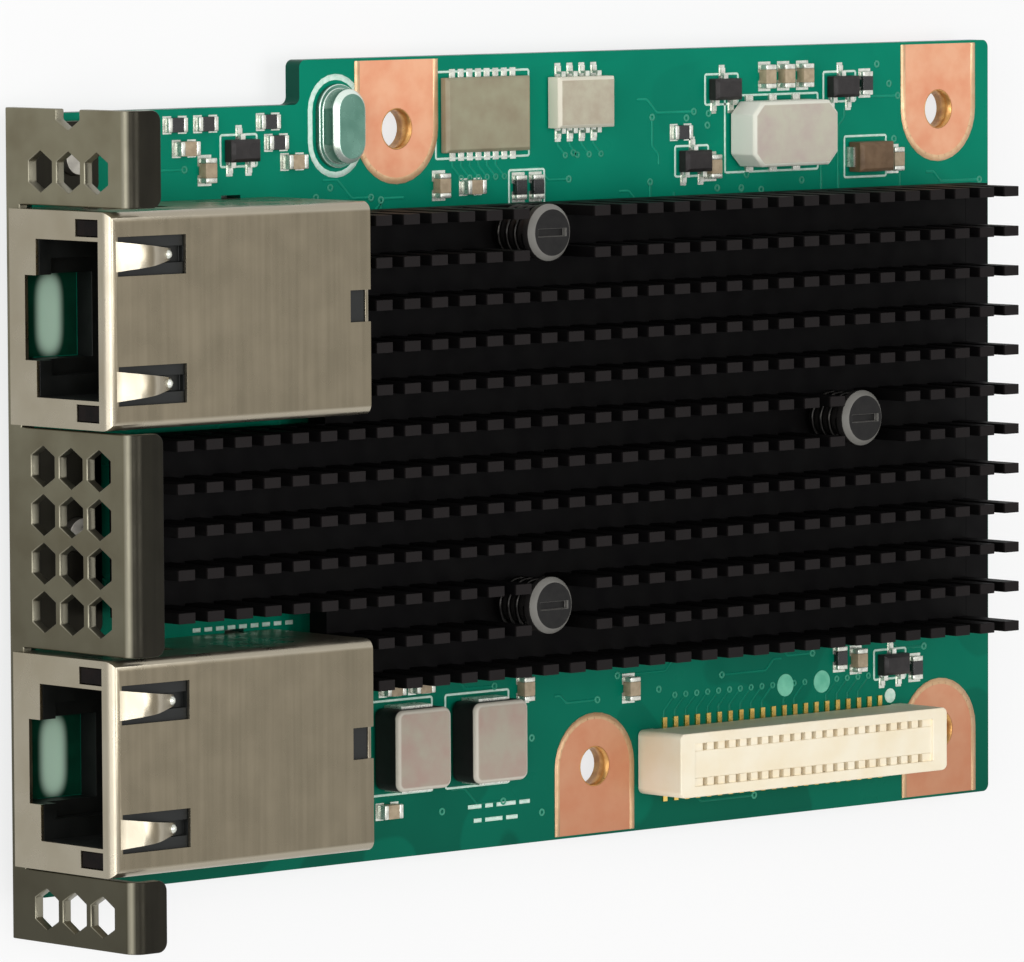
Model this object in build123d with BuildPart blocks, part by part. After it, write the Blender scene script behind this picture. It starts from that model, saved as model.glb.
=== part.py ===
from build123d import *
import os
from math import atan, degrees, floor

os.makedirs("parts", exist_ok=True)

# A two-port mezzanine network card, lying on its underside with the component face up.
# Lengths are millimetres. Board coordinates run from the bracket's outer face (x),
# from the board's lower long edge (y) and from the board's component face (z).

# Circuit board
board_length = 100.6
board_width = 61.8
board_thickness = 1.6
board_corner = 0.6
board_gap = 0.4
step_length = 26.2
step_depth = 3.4

# Fixing holes and the bare copper round them
fixing_radius = 1.6
fixing_edge_inset = 5.5
fixing_rear_inset = 5.8
upper_fixing_front_x = 37.2
lower_fixing_front_x = 57.6
copper_width = 8.0
copper_edge_gap = 0.2
copper_thickness = 0.05

# Bracket
bracket_thickness = 0.8
bracket_height = 12.7
bracket_overlap = 0.5
tab_reach = 3.0
flange_depth = 3.1
flange_corner = 0.8
bend_radius = 0.3
vent_radius = 1.55
vent_pitch_across = 3.6
vent_pitch_up = 3.25
vent_side_margin = 0.6
vent_columns = 3
vent_top_inset = 7.0
vent_edge_inset = 2.5
foot_length = 6.2
foot_side_gap = 0.6
foot_screw_inset = 2.4

# Bracket screws
screw_radius = 1.25
screw_head_radius = 2.25
screw_head_height = 1.3
screw_head_edge = 0.6
screw_tip = 0.7
screw_recess_depth = 0.6
screw_recess_width = 0.55
screw_recess_length = 2.5
screw_clearance = 0.15
thread_gap = 0.02

# Jacks
jack_width = 16.0
jack_height = 11.5
jack_length = 25.4
jack_nose = 1.0
lower_jack_inset = 10.6
upper_jack_inset = 14.9
jack_clearance = 0.25
shield_thickness = 0.3
shield_bend = 0.8
mouth_side = 2.15
mouth_low = 3.1
mouth_high = 10.3
latch_width = 6.3
latch_low = 1.8
latch_lip = 1.2
latch_opening = 6.1
cavity_depth = 13.0
cavity_wall = 1.4
housing_gap = 0.05
housing_side_wall = 0.8
housing_roof = 0.3

# Spring fingers of a jack's shield
finger_side_inset = 3.25
finger_root = 0.9
finger_root_width = 2.3
finger_tip_width = 0.8
finger_crest = 2.8
finger_rise = 0.75
finger_dip = 0.35
finger_tip = 5.4
finger_root_slope = 0.25
finger_tip_slope = 0.35
finger_window_length = 6.5
finger_window_width = 2.9
finger_pocket_gap = 0.2
side_finger_root = 3.4
side_finger_height = 5.6
side_finger_rise = 0.4

# Board legs and rear notch of a jack's shield
leg_width = 1.4
leg_reach = 0.9
leg_clearance = 0.25
front_leg_inset = 9.0
rear_leg_inset = 21.5
notch_width = 2.4
notch_depth = 2.0
notch_offset = 0.2

# Pieces inside a jack
contact_count = 8
contact_pitch = 1.02
contact_width = 0.42
contact_slot_gap = 0.1
contact_bend = 0.7
contact_front = 2.6
contact_tail = 9.6
contact_dip = 3.0
light_width = 1.3
light_height = 2.6
light_side_inset = 1.2
light_length = 8.0
light_recess = 0.1
magnetics_gap = 0.1
magnetics_lift = 0.3
solder_pin_width = 0.5
solder_pin_reach = 0.9
solder_pin_clearance = 0.15
solder_pin_row_gap = 2.54
solder_pin_rear_inset = 3.6
peg_radius = 1.5
peg_clearance = 0.12
peg_reach = 0.5
peg_side_inset = 2.285
peg_inset = 11.4

# Heat sink
sink_upper_margin = 11.45
sink_lower_margin = 14.45
sink_rear_margin = 7.2
sink_jack_gap = 1.2
sink_side_gap = 1.0
sink_bracket_gap = 3.0
base_thickness = 2.0
fin_height = 6.0
fin_thickness = 0.8
fin_pitch = 3.19
pin_length = 1.6
pin_pitch = 2.8

# Push pins and their springs
push_front_reach = 15.4
push_rear_reach = 18.2
push_low_rows = 3
push_pin_radius = 1.4
push_pin_clearance = 0.15
push_head_radius = 2.2
push_head_height = 1.0
push_head_edge = 0.4
push_head_slot_width = 0.6
push_head_slot_depth = 0.4
push_head_slot_length = 2.9
barb_radius = 1.75
barb_gap = 0.05
barb_length = 2.3
barb_tip_radius = 0.8
barb_slit = 0.7
spring_height = 3.8
spring_radius = 1.9
spring_wire = 0.36
spring_turns = 2.5
spring_seat_gap = 0.05

# Controller under the heat sink
substrate_size = 22.0
substrate_thickness = 1.1
lid_size = 19.0
lid_thickness = 1.2
lid_edge = 0.4
thermal_pad_size = 17.5
thermal_pad_thickness = 0.3

# Board-to-board connector
connector_width = 5.1
connector_height = 5.0
connector_front_gap = 4.7
connector_rear_gap = 4.0
connector_edge_inset = 2.9
connector_wall = 0.85
connector_tongue = 2.2
connector_tongue_drop = 0.2
connector_end = 1.6
connector_lift = 0.4
connector_corner = 0.5
connector_contact_pitch = 1.2
connector_contact_width = 0.45
connector_contact_thickness = 0.16
connector_contact_drop = 0.9
connector_tail_reach = 0.8

# Power chokes and the supply inductor
choke_length = 6.3
choke_width = 5.6
choke_height = 3.0
choke_corner = 0.7
choke_front_x = 37.2
choke_spacing = 8.0
choke_y = 8.6
clip_thickness = 0.2
clip_width = 3.2
clip_foot = 0.8
clip_height = 2.0
inductor_length = 9.4
inductor_width = 5.2
inductor_height = 3.0
inductor_corner = 1.0
inductor_rear_inset = 24.6
inductor_edge_inset = 6.9
inductor_pin_count = 3
inductor_pin_width = 0.8
inductor_pin_length = 1.5
inductor_pin_pitch = 2.6
inductor_pin_reach = 0.45

# Crystal
crystal_x = 31.0
crystal_edge_inset = 5.1
crystal_length = 6.4
crystal_width = 4.0
crystal_flange = 0.35
crystal_flange_height = 0.5
crystal_height = 2.0

# Interface chip and memory chip
interface_x = 46.1
interface_edge_inset = 4.6
interface_length = 8.8
interface_width = 5.8
interface_height = 0.9
interface_pad_pitch = 0.9
interface_pad_width = 0.45
interface_pad_count = 8
interface_pad_reach = 0.4
memory_x = 55.9
memory_edge_inset = 3.9
memory_length = 6.0
memory_width = 4.0
memory_height = 1.5
memory_lead_count = 4
memory_lead_pitch = 1.27
memory_lead_width = 0.42
lead_thickness = 0.2
lead_reach = 0.85
chip_lift = 0.1
chip_edge = 0.25

# Small moulded chips
small_chip_length = 2.9
small_chip_width = 1.7
small_chip_height = 1.1
small_chip_lead_pitch = 1.9
small_chip_lead_width = 0.45

# Brown block capacitor
block_length = 4.2
block_width = 2.4
block_height = 1.6
block_foot = 0.8
block_end_width = 1.6
block_rear_inset = 14.1
block_edge_inset = 9.1

# Chip capacitors and resistors
chip_length = 1.9
chip_width = 1.1
capacitor_height = 0.9
resistor_height = 0.5
chip_cap = 0.4
underside_columns = 4
underside_rows = 3
underside_pitch = 3.6

# Test pads
test_pad_radius = 0.9
test_pad_spacing = 4.1
test_pad_rear_inset = 21.2
test_pad_y = 10.4

# Slack for counting pieces in a length, far under any size
rounding = 1e-6

# Places that follow from the sizes above
board_front = bracket_thickness + board_gap
board_rear = board_front + board_length
step_x = board_front + step_length
step_y = board_width - step_depth
bracket_low = -tab_reach
bracket_high = step_y + bracket_overlap
jack_front = -jack_nose
jack_rear = jack_front + jack_length
jack_centres = {"lower": lower_jack_inset, "upper": step_y - upper_jack_inset}
board_top_height = board_thickness + barb_gap + barb_length
front_x = -(jack_front + board_rear) / 2
edge_y = -(bracket_low + board_width) / 2


def board_plane(height):
    """Plane parallel to the board, at a height over its component face."""
    return Plane(origin=(front_x, edge_y, board_top_height + height))


def across_plane(x, y=0):
    """Plane square to the card's length: local x runs across the card, local y runs up."""
    return Plane(origin=(front_x + x, edge_y + y, board_top_height), x_dir=(0, 1, 0), z_dir=(1, 0, 0))


def along_plane(y):
    """Plane square to the card's width: local x runs to the rear, local y runs up."""
    return Plane(origin=(front_x, edge_y + y, board_top_height), x_dir=(1, 0, 0), z_dir=(0, -1, 0))


def how_many(length, size, pitch):
    """Number of pieces of one size that fit in a length at a pitch."""
    return floor((length - size) / pitch + rounding) + 1


# Fixing holes
upper_fixing_y = board_width - fixing_edge_inset
fixing_rear_x = board_rear - fixing_rear_inset
upper_fixings = [(upper_fixing_front_x, upper_fixing_y), (fixing_rear_x, upper_fixing_y)]
lower_fixings = [(lower_fixing_front_x, fixing_edge_inset), (fixing_rear_x, fixing_edge_inset)]

# Bracket towers beside the jacks, and the feet of two of them
cut_half_width = jack_width / 2 + jack_clearance
lower_cut = [jack_centres["lower"] - cut_half_width, jack_centres["lower"] + cut_half_width]
upper_cut = [jack_centres["upper"] - cut_half_width, jack_centres["upper"] + cut_half_width]
towers = [(bracket_low, lower_cut[0]), (lower_cut[1], upper_cut[0]), (upper_cut[1], bracket_high)]
middle_tower_y = (lower_cut[1] + upper_cut[0]) / 2
middle_tower_width = upper_cut[0] - lower_cut[1]
vent_middle_height = bracket_height - vent_top_inset
vent_rows = how_many(middle_tower_width - 2 * vent_side_margin, 2 * vent_radius, vent_pitch_across)
middle_foot_width = middle_tower_width - 2 * foot_side_gap
upper_foot_width = step_y - upper_cut[1] - 2 * foot_side_gap
flange_fillet = min(flange_corner, min(high - low for low, high in towers) / 3)
upper_foot_y = (upper_cut[1] + step_y) / 2
foot_rear = bracket_thickness + foot_length
foot_screw_x = foot_rear - foot_screw_inset
foot_screws = [(foot_screw_x, middle_tower_y), (foot_screw_x, upper_foot_y)]

# Pin grid of the heat sink, counted from its rear and from its upper side
sink_upper = board_width - sink_upper_margin
sink_rear = board_rear - sink_rear_margin
sink_width = sink_upper - sink_lower_margin
fin_count = how_many(sink_width, fin_thickness, fin_pitch)
fin_rows = [sink_upper - fin_thickness / 2 - row * fin_pitch for row in range(fin_count)]
wide_count = how_many(sink_rear - jack_rear - sink_jack_gap, pin_length, pin_pitch)
full_count = how_many(sink_rear - flange_depth - sink_bracket_gap, pin_length, pin_pitch)
pin_columns = [sink_rear - pin_length / 2 - column * pin_pitch for column in range(full_count)]
wide_front = pin_columns[wide_count - 1] - pin_length / 2
narrow_front = pin_columns[-1] - pin_length / 2
narrow_low = jack_centres["lower"] + jack_width / 2 + sink_side_gap + fin_thickness / 2
narrow_high = jack_centres["upper"] - jack_width / 2 - sink_side_gap - fin_thickness / 2
narrow_rows = [y for y in fin_rows if narrow_low <= y <= narrow_high]
base_low = substrate_thickness + lid_thickness + thermal_pad_thickness
base_high = base_low + base_thickness

# The controller sits under the middle of the wide part, with push pins in the pin grid's gaps round it
controller_x = (wide_front + sink_rear) / 2
controller_y = (fin_rows[0] + fin_rows[-1]) / 2


def grid_column(x):
    """Number of the gap between pin columns that is nearest to a place along the card."""
    return round((pin_columns[0] - pin_pitch / 2 - x) / pin_pitch)


push_front_column = grid_column(controller_x - push_front_reach)
push_rear_column = grid_column(controller_x + push_rear_reach)
push_pin_sites = [
    (push_front_column, 0),
    (push_front_column, fin_count - push_low_rows),
    (push_rear_column, fin_count // 2 - 1),
]
push_pins_at = [
    (pin_columns[column] - pin_pitch / 2, fin_rows[row] - fin_pitch / 2) for column, row in push_pin_sites
]
push_hole_radius = push_pin_radius + push_pin_clearance

# Places inside a jack, measured from the bracket's outer face
housing_front = jack_front + shield_thickness
housing_width = jack_width - 2 * (shield_thickness + housing_gap)
housing_height = jack_height - shield_thickness - housing_gap
housing_rear = jack_rear - shield_thickness - housing_gap
housing_bend = shield_bend - shield_thickness - housing_gap
cavity_rear = housing_front + cavity_depth
chamber_front = cavity_rear + cavity_wall
chamber_top = housing_height - housing_roof
chamber_width = housing_width - 2 * housing_side_wall
contact_high = chamber_top - contact_slot_gap - contact_width / 2
contact_offsets = [(index - (contact_count - 1) / 2) * contact_pitch for index in range(contact_count)]
mouth_width = jack_width - 2 * mouth_side
light_offset = jack_width / 2 - light_side_inset
finger_offset = jack_width / 2 - finger_side_inset
peg_offset = jack_width / 2 - peg_side_inset
solder_pin_rear_x = jack_rear - solder_pin_rear_inset
solder_pin_rows = [solder_pin_rear_x, solder_pin_rear_x - solder_pin_row_gap]
leg_xs = [jack_front + front_leg_inset, jack_front + rear_leg_inset]
leg_offset = (jack_width - shield_thickness) / 2
leg_hole_length = leg_width + 2 * leg_clearance
leg_hole_width = shield_thickness + 2 * leg_clearance
solder_pin_hole = solder_pin_width + 2 * solder_pin_clearance
pocket_width = finger_tip_width + 2 * finger_pocket_gap
pocket_depth = finger_dip + finger_pocket_gap - housing_gap
peg_x = jack_front + peg_inset


def solder_pin_places(centre):
    """Staggered places of one jack's solder pins on the board."""
    return [(solder_pin_rows[index % 2], centre + across) for index, across in enumerate(contact_offsets)]


def leg_places(centre):
    """Places of one jack's shield legs on the board."""
    return [(x, centre + side * leg_offset) for x in leg_xs for side in (-1, 1)]


def peg_places(centre):
    """Places of one jack's two plastic pegs on the board."""
    return [(peg_x, centre - peg_offset), (peg_x, centre + peg_offset)]


with BuildPart() as circuit_board:
    with BuildSketch(board_plane(-board_thickness)):
        with BuildLine():
            Polyline(
                (board_front, 0),
                (board_rear, 0),
                (board_rear, board_width),
                (step_x, board_width),
                (step_x, step_y),
                (board_front, step_y),
                close=True,
            )
        outline = make_face()
        fillet(outline.vertices(), board_corner)
        with Locations(*upper_fixings, *lower_fixings):
            Circle(fixing_radius, mode=Mode.SUBTRACT)
        with Locations(*push_pins_at):
            Circle(push_hole_radius, mode=Mode.SUBTRACT)
        with Locations(*foot_screws):
            Circle(screw_radius + screw_clearance, mode=Mode.SUBTRACT)
        for centre in jack_centres.values():
            with Locations(*solder_pin_places(centre)):
                Rectangle(solder_pin_hole, solder_pin_hole, mode=Mode.SUBTRACT)
            with Locations(*leg_places(centre)):
                Rectangle(leg_hole_length, leg_hole_width, mode=Mode.SUBTRACT)
            with Locations(*peg_places(centre)):
                Circle(peg_radius + peg_clearance, mode=Mode.SUBTRACT)
    extrude(amount=board_thickness)
circuit_board.part.label = "circuit_board"
export_step(circuit_board.part, "parts/circuit_board.step")

# Bare copper: a strip from the board's edge that ends in a half round about the hole, on both faces
with BuildPart() as ground_pads:
    for face_height in (0, -board_thickness - copper_thickness):
        with BuildSketch(board_plane(face_height)):
            strip_length = fixing_edge_inset - copper_edge_gap
            for x, y in lower_fixings:
                with Locations((x, y - strip_length / 2)):
                    Rectangle(copper_width, strip_length)
            for x, y in upper_fixings:
                with Locations((x, y + strip_length / 2)):
                    Rectangle(copper_width, strip_length)
            with Locations(*upper_fixings, *lower_fixings):
                Circle(copper_width / 2)
            with Locations(*upper_fixings, *lower_fixings):
                Circle(fixing_radius, mode=Mode.SUBTRACT)
        extrude(amount=copper_thickness)
ground_pads.part.label = "ground_pads"
export_step(ground_pads.part, "parts/ground_pads.step")

# Bracket: a vented face with two open cut-outs, a flange on each tower and two feet on the board
with BuildPart() as bracket:
    with BuildSketch(across_plane(0)):
        face_height = bracket_height + board_thickness
        face_middle = (bracket_height - board_thickness) / 2
        with Locations(((bracket_low + bracket_high) / 2, face_middle)):
            Rectangle(bracket_high - bracket_low, face_height)
        with Locations(*[(centre, bracket_height / 2) for centre in jack_centres.values()]):
            Rectangle(2 * cut_half_width, bracket_height, mode=Mode.SUBTRACT)
        with Locations((middle_tower_y, vent_middle_height)):
            with GridLocations(vent_pitch_across, vent_pitch_up, vent_rows, vent_columns):
                RegularPolygon(vent_radius, 6, mode=Mode.SUBTRACT)
        edge_vent_rows = [bracket_low + vent_edge_inset, upper_cut[1] + vent_edge_inset]
        with Locations(*[(y, vent_middle_height) for y in edge_vent_rows]):
            with GridLocations(vent_pitch_across, vent_pitch_up, 1, vent_columns):
                RegularPolygon(vent_radius, 6, mode=Mode.SUBTRACT)
        with Locations((bracket_high, vent_middle_height)):
            RegularPolygon(vent_radius, 6, mode=Mode.SUBTRACT)
    extrude(amount=bracket_thickness)
    with BuildSketch(board_plane(bracket_height - bracket_thickness)):
        for low, high in towers:
            with Locations((flange_depth / 2, (low + high) / 2)):
                Rectangle(flange_depth, high - low)
    extrude(amount=bracket_thickness)
    flange_undersides = bracket.faces().filter_by(Axis.Z).group_by(Axis.Z)[-2]
    inner_bends = flange_undersides.edges().filter_by(Axis.Y).group_by(Axis.X)[0]
    fillet(inner_bends, bend_radius)
    outer_bends = bracket.edges().filter_by(Axis.Y).group_by(Axis.Z)[-1].group_by(Axis.X)[0]
    fillet(outer_bends, bracket_thickness + bend_radius)
    flange_rear = bracket.edges().filter_by(Axis.Z).group_by(Axis.X)[-1]
    fillet(flange_rear, flange_fillet)
    with BuildSketch(board_plane(0)):
        with Locations((foot_rear / 2, middle_tower_y)):
            Rectangle(foot_rear, middle_foot_width)
        with Locations((foot_rear / 2, upper_foot_y)):
            Rectangle(foot_rear, upper_foot_width)
    extrude(amount=bracket_thickness)
    foot_rear_edges = bracket.edges().filter_by(Axis.Z).group_by(Axis.X)[-1]
    fillet(foot_rear_edges, flange_fillet)
    with BuildSketch(board_plane(0)):
        with Locations(*foot_screws):
            Circle(screw_radius + thread_gap)
    extrude(amount=bracket_thickness, mode=Mode.SUBTRACT)
bracket.part.label = "bracket"
export_step(bracket.part, "parts/bracket.step")

# Screws from below: pan head, plain shank and a cross recess
with BuildPart() as bracket_screws:
    with BuildSketch(board_plane(-board_thickness - screw_head_height)):
        with Locations(*foot_screws):
            Circle(screw_head_radius)
    extrude(amount=screw_head_height)
    head_rims = bracket_screws.edges().filter_by(GeomType.CIRCLE).group_by(Axis.Z)[0]
    chamfer(head_rims, screw_head_edge)
    with BuildSketch(board_plane(-board_thickness)):
        with Locations(*foot_screws):
            Circle(screw_radius)
    extrude(amount=board_thickness + bracket_thickness + screw_tip)
    with BuildSketch(board_plane(-board_thickness - screw_head_height)):
        with Locations(*foot_screws):
            Rectangle(screw_recess_length, screw_recess_width)
            Rectangle(screw_recess_width, screw_recess_length)
    extrude(amount=screw_recess_depth, mode=Mode.SUBTRACT)
bracket_screws.part.label = "bracket_screws"
export_step(bracket_screws.part, "parts/bracket_screws.step")


def spring_finger(plane, root, rise):
    """Tapered sheet finger, bowed outwards and dipping at its tip, root on the plane's origin.

    The plane's local x runs from the root to the tip and its local y points out of the sheet.
    """
    with BuildPart() as finger:
        with BuildSketch(plane):
            with BuildLine():
                Spline(
                    (root, 0),
                    (root + finger_crest, rise),
                    (root + finger_tip, -finger_dip),
                    tangents=[(1, finger_root_slope), (1, -finger_tip_slope)],
                )
            trace(line_width=shield_thickness)
        extrude(amount=finger_root_width / 2, both=True)
        plan = Plane(origin=plane.origin, x_dir=plane.x_dir, z_dir=plane.y_dir)
        with BuildSketch(plan.offset(-rise - finger_dip - shield_thickness)):
            with BuildLine():
                Polyline(
                    (root - shield_thickness, -finger_root_width / 2),
                    (root + finger_tip + shield_thickness, -finger_tip_width / 2),
                    (root + finger_tip + shield_thickness, finger_tip_width / 2),
                    (root - shield_thickness, finger_root_width / 2),
                    close=True,
                )
            make_face()
        extrude(amount=2 * (rise + finger_dip + shield_thickness), mode=Mode.INTERSECT)
    return finger.part


def bent_edges(block):
    """Upper edges of a jack's block along its two sides and its front."""
    rims = block.faces().sort_by(Axis.Z)[-1].edges()
    return rims.filter_by(Axis.X) + rims.filter_by(Axis.Y).sort_by(Axis.X)[:1]


for jack, centre in jack_centres.items():
    # Shield: a folded can, open below, with a mouth, spring fingers, legs and a rear notch
    sheet_middle = jack_height - shield_thickness / 2
    top_fingers = [
        spring_finger(
            Plane(
                origin=along_plane(centre + side * finger_offset).from_local_coords(
                    (jack_front, sheet_middle)
                ),
                x_dir=(1, 0, 0),
                z_dir=(0, -1, 0),
            ),
            finger_root - shield_thickness / 2,
            finger_rise,
        )
        for side in (-1, 1)
    ]
    side_fingers = [
        spring_finger(
            Plane(
                origin=board_plane(side_finger_height).from_local_coords(
                    (jack_front, centre + side * leg_offset)
                ),
                x_dir=(1, 0, 0),
                z_dir=(0, 0, side),
            ),
            side_finger_root - shield_thickness / 2,
            side_finger_rise,
        )
        for side in (-1, 1)
    ]
    with BuildPart() as jack_shield:
        with BuildSketch(across_plane(jack_front)):
            with Locations((centre, jack_height / 2)):
                Rectangle(jack_width, jack_height)
        extrude(amount=jack_length)
        fillet(bent_edges(jack_shield), shield_bend)
        offset(amount=-shield_thickness, openings=jack_shield.faces().sort_by(Axis.Z)[0])
        with BuildSketch(across_plane(jack_front)):
            with Locations((centre, (mouth_low + mouth_high) / 2)):
                Rectangle(mouth_width, mouth_high - mouth_low)
            with Locations((centre, (latch_low + mouth_low) / 2)):
                Rectangle(latch_width, mouth_low - latch_low)
            for side in (-1, 1):
                with Locations((centre + side * light_offset, mouth_high - light_height / 2)):
                    Rectangle(light_width, light_height)
        extrude(amount=shield_thickness, mode=Mode.SUBTRACT)
        with BuildSketch(board_plane(jack_height - shield_thickness)):
            for side in (-1, 1):
                window_middle = jack_front + finger_root + finger_window_length / 2
                with Locations((window_middle, centre + side * finger_offset)):
                    Rectangle(finger_window_length, finger_window_width)
            with Locations((jack_rear - notch_depth / 2, centre + notch_offset)):
                Rectangle(notch_depth, notch_width)
        extrude(amount=shield_thickness, mode=Mode.SUBTRACT)
        with BuildSketch(along_plane(centre + jack_width / 2)):
            with Locations((jack_front + side_finger_root + finger_window_length / 2, side_finger_height)):
                Rectangle(finger_window_length, finger_window_width)
        extrude(amount=jack_width, mode=Mode.SUBTRACT)
        with BuildSketch(board_plane(-board_thickness - leg_reach)):
            with Locations(*leg_places(centre)):
                Rectangle(leg_width, shield_thickness)
        extrude(amount=board_thickness + leg_reach)
        for finger in top_fingers + side_fingers:
            add(finger)
    jack_shield.part.label = f"{jack}_jack_shield"
    export_step(jack_shield.part, f"parts/{jack}_jack_shield.step")

    # Housing: plug cavity, latch groove open to the board at the front, contact slots, light pockets,
    # chamber, pegs
    with BuildPart() as jack_housing:
        with BuildSketch(across_plane(housing_front)):
            with Locations((centre, housing_height / 2)):
                Rectangle(housing_width, housing_height)
        extrude(amount=housing_rear - housing_front)
        fillet(bent_edges(jack_housing), housing_bend)
        with BuildSketch(across_plane(housing_front)):
            with Locations((centre, (mouth_low + mouth_high) / 2)):
                Rectangle(mouth_width, mouth_high - mouth_low)
        extrude(amount=cavity_depth, mode=Mode.SUBTRACT)
        with BuildSketch(across_plane(housing_front)):
            with Locations((centre, mouth_low / 2)):
                Rectangle(latch_width, mouth_low)
        extrude(amount=latch_opening, mode=Mode.SUBTRACT)
        with BuildSketch(across_plane(housing_front + latch_lip)):
            with Locations((centre, (latch_low + mouth_low) / 2)):
                Rectangle(latch_width + 2 * latch_lip, mouth_low - latch_low)
        extrude(amount=cavity_depth - latch_lip, mode=Mode.SUBTRACT)
        with BuildSketch(board_plane(mouth_high)):
            slot_front = jack_front + contact_front - contact_slot_gap
            for across in contact_offsets:
                with Locations(((slot_front + chamber_front) / 2, centre + across)):
                    Rectangle(chamber_front - slot_front, contact_width + 2 * contact_slot_gap)
        extrude(amount=chamber_top - mouth_high, mode=Mode.SUBTRACT)
        with BuildSketch(across_plane(housing_front)):
            for side in (-1, 1):
                with Locations((centre + side * light_offset, mouth_high - light_height / 2)):
                    Rectangle(light_width, light_height)
        extrude(amount=light_length, mode=Mode.SUBTRACT)
        with BuildSketch(across_plane(chamber_front)):
            with Locations((centre, chamber_top / 2)):
                Rectangle(chamber_width, chamber_top)
        extrude(amount=housing_rear - chamber_front, mode=Mode.SUBTRACT)
        with BuildSketch(board_plane(housing_height)):
            pocket_middle = jack_front + finger_root + finger_window_length / 2
            for side in (-1, 1):
                with Locations((pocket_middle, centre + side * finger_offset)):
                    Rectangle(finger_window_length, pocket_width)
        extrude(amount=-pocket_depth, mode=Mode.SUBTRACT)
        for side in (-1, 1):
            with BuildSketch(along_plane(centre + side * housing_width / 2)):
                side_pocket_middle = jack_front + side_finger_root + finger_window_length / 2
                with Locations((side_pocket_middle, side_finger_height)):
                    Rectangle(finger_window_length, pocket_width)
            extrude(amount=side * pocket_depth, mode=Mode.SUBTRACT)
        with BuildSketch(board_plane(-board_thickness - peg_reach)):
            with Locations(*peg_places(centre)):
                Circle(peg_radius)
        extrude(amount=board_thickness + peg_reach)
    jack_housing.part.label = f"{jack}_jack_housing"
    export_step(jack_housing.part, f"parts/{jack}_jack_housing.step")

    # Contacts: wires along the cavity's roof that turn back and slope down into the plug's path
    with BuildPart() as jack_contacts:
        nose = jack_front + contact_front
        tail = jack_front + contact_tail
        wire_low = contact_high - contact_width / 2
        wire_high = contact_high + contact_width / 2
        with BuildSketch(*[along_plane(centre + across) for across in contact_offsets]):
            with BuildLine():
                Polyline(
                    (chamber_front, wire_high),
                    (nose, wire_high),
                    (nose, wire_low),
                    (tail, wire_low - contact_dip),
                    (tail, wire_high - contact_dip),
                    (nose + contact_bend, wire_low),
                    (chamber_front, wire_low),
                    close=True,
                )
            make_face()
        extrude(amount=contact_width / 2, both=True)
    jack_contacts.part.label = f"{jack}_jack_contacts"
    export_step(jack_contacts.part, f"parts/{jack}_jack_contacts.step")

    with BuildPart() as jack_lights:
        with BuildSketch(across_plane(jack_front + light_recess)):
            for side in (-1, 1):
                with Locations((centre + side * light_offset, mouth_high - light_height / 2)):
                    Rectangle(light_width - 2 * housing_gap, light_height - 2 * housing_gap)
        extrude(amount=light_length + shield_thickness - light_recess)
    jack_lights.part.label = f"{jack}_jack_lights"
    export_step(jack_lights.part, f"parts/{jack}_jack_lights.step")

    with BuildPart() as jack_magnetics:
        with BuildSketch(across_plane(chamber_front)):
            block_top = chamber_top - magnetics_gap
            with Locations((centre, (magnetics_lift + block_top) / 2)):
                Rectangle(chamber_width - 2 * magnetics_gap, block_top - magnetics_lift)
        extrude(amount=housing_rear - chamber_front)
    jack_magnetics.part.label = f"{jack}_jack_magnetics"
    export_step(jack_magnetics.part, f"parts/{jack}_jack_magnetics.step")

    with BuildPart() as jack_solder_pins:
        with BuildSketch(board_plane(-board_thickness - solder_pin_reach)):
            with Locations(*solder_pin_places(centre)):
                Rectangle(solder_pin_width, solder_pin_width)
        extrude(amount=board_thickness + solder_pin_reach + magnetics_lift)
    jack_solder_pins.part.label = f"{jack}_jack_solder_pins"
    export_step(jack_solder_pins.part, f"parts/{jack}_jack_solder_pins.step")


# Heat sink: a T-shaped base, fins along the card cut across into pins, and a pocket at each push pin
wide_middle = (wide_front + sink_rear) / 2
narrow_middle = (narrow_front + wide_front) / 2
base_middle = (fin_rows[0] + fin_rows[-1]) / 2
base_width = fin_rows[0] - fin_rows[-1] + fin_thickness
cross_cuts = [(column - pin_pitch / 2, base_middle) for column in pin_columns[:-1]]
with BuildPart() as heat_sink:
    with BuildSketch(board_plane(base_low)):
        with Locations((wide_middle, base_middle)):
            Rectangle(sink_rear - wide_front, base_width)
        with Locations((narrow_middle, (narrow_rows[0] + narrow_rows[-1]) / 2)):
            Rectangle(wide_front - narrow_front, narrow_rows[0] - narrow_rows[-1] + fin_thickness)
        with Locations(*push_pins_at):
            Circle(push_hole_radius, mode=Mode.SUBTRACT)
    extrude(amount=base_thickness)
    with BuildSketch(board_plane(base_high)):
        with Locations(*[(wide_middle, row) for row in fin_rows]):
            Rectangle(sink_rear - wide_front, fin_thickness)
        with Locations(*[(narrow_middle, row) for row in narrow_rows]):
            Rectangle(wide_front - narrow_front, fin_thickness)
    extrude(amount=fin_height)
    with BuildSketch(board_plane(base_high)):
        with Locations(*cross_cuts):
            Rectangle(pin_pitch - pin_length, base_width)
        with Locations(*push_pins_at):
            Rectangle(2 * pin_pitch, 2 * fin_pitch)
    extrude(amount=fin_height, mode=Mode.SUBTRACT)
heat_sink.part.label = "heat_sink"
export_step(heat_sink.part, "parts/heat_sink.step")

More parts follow.
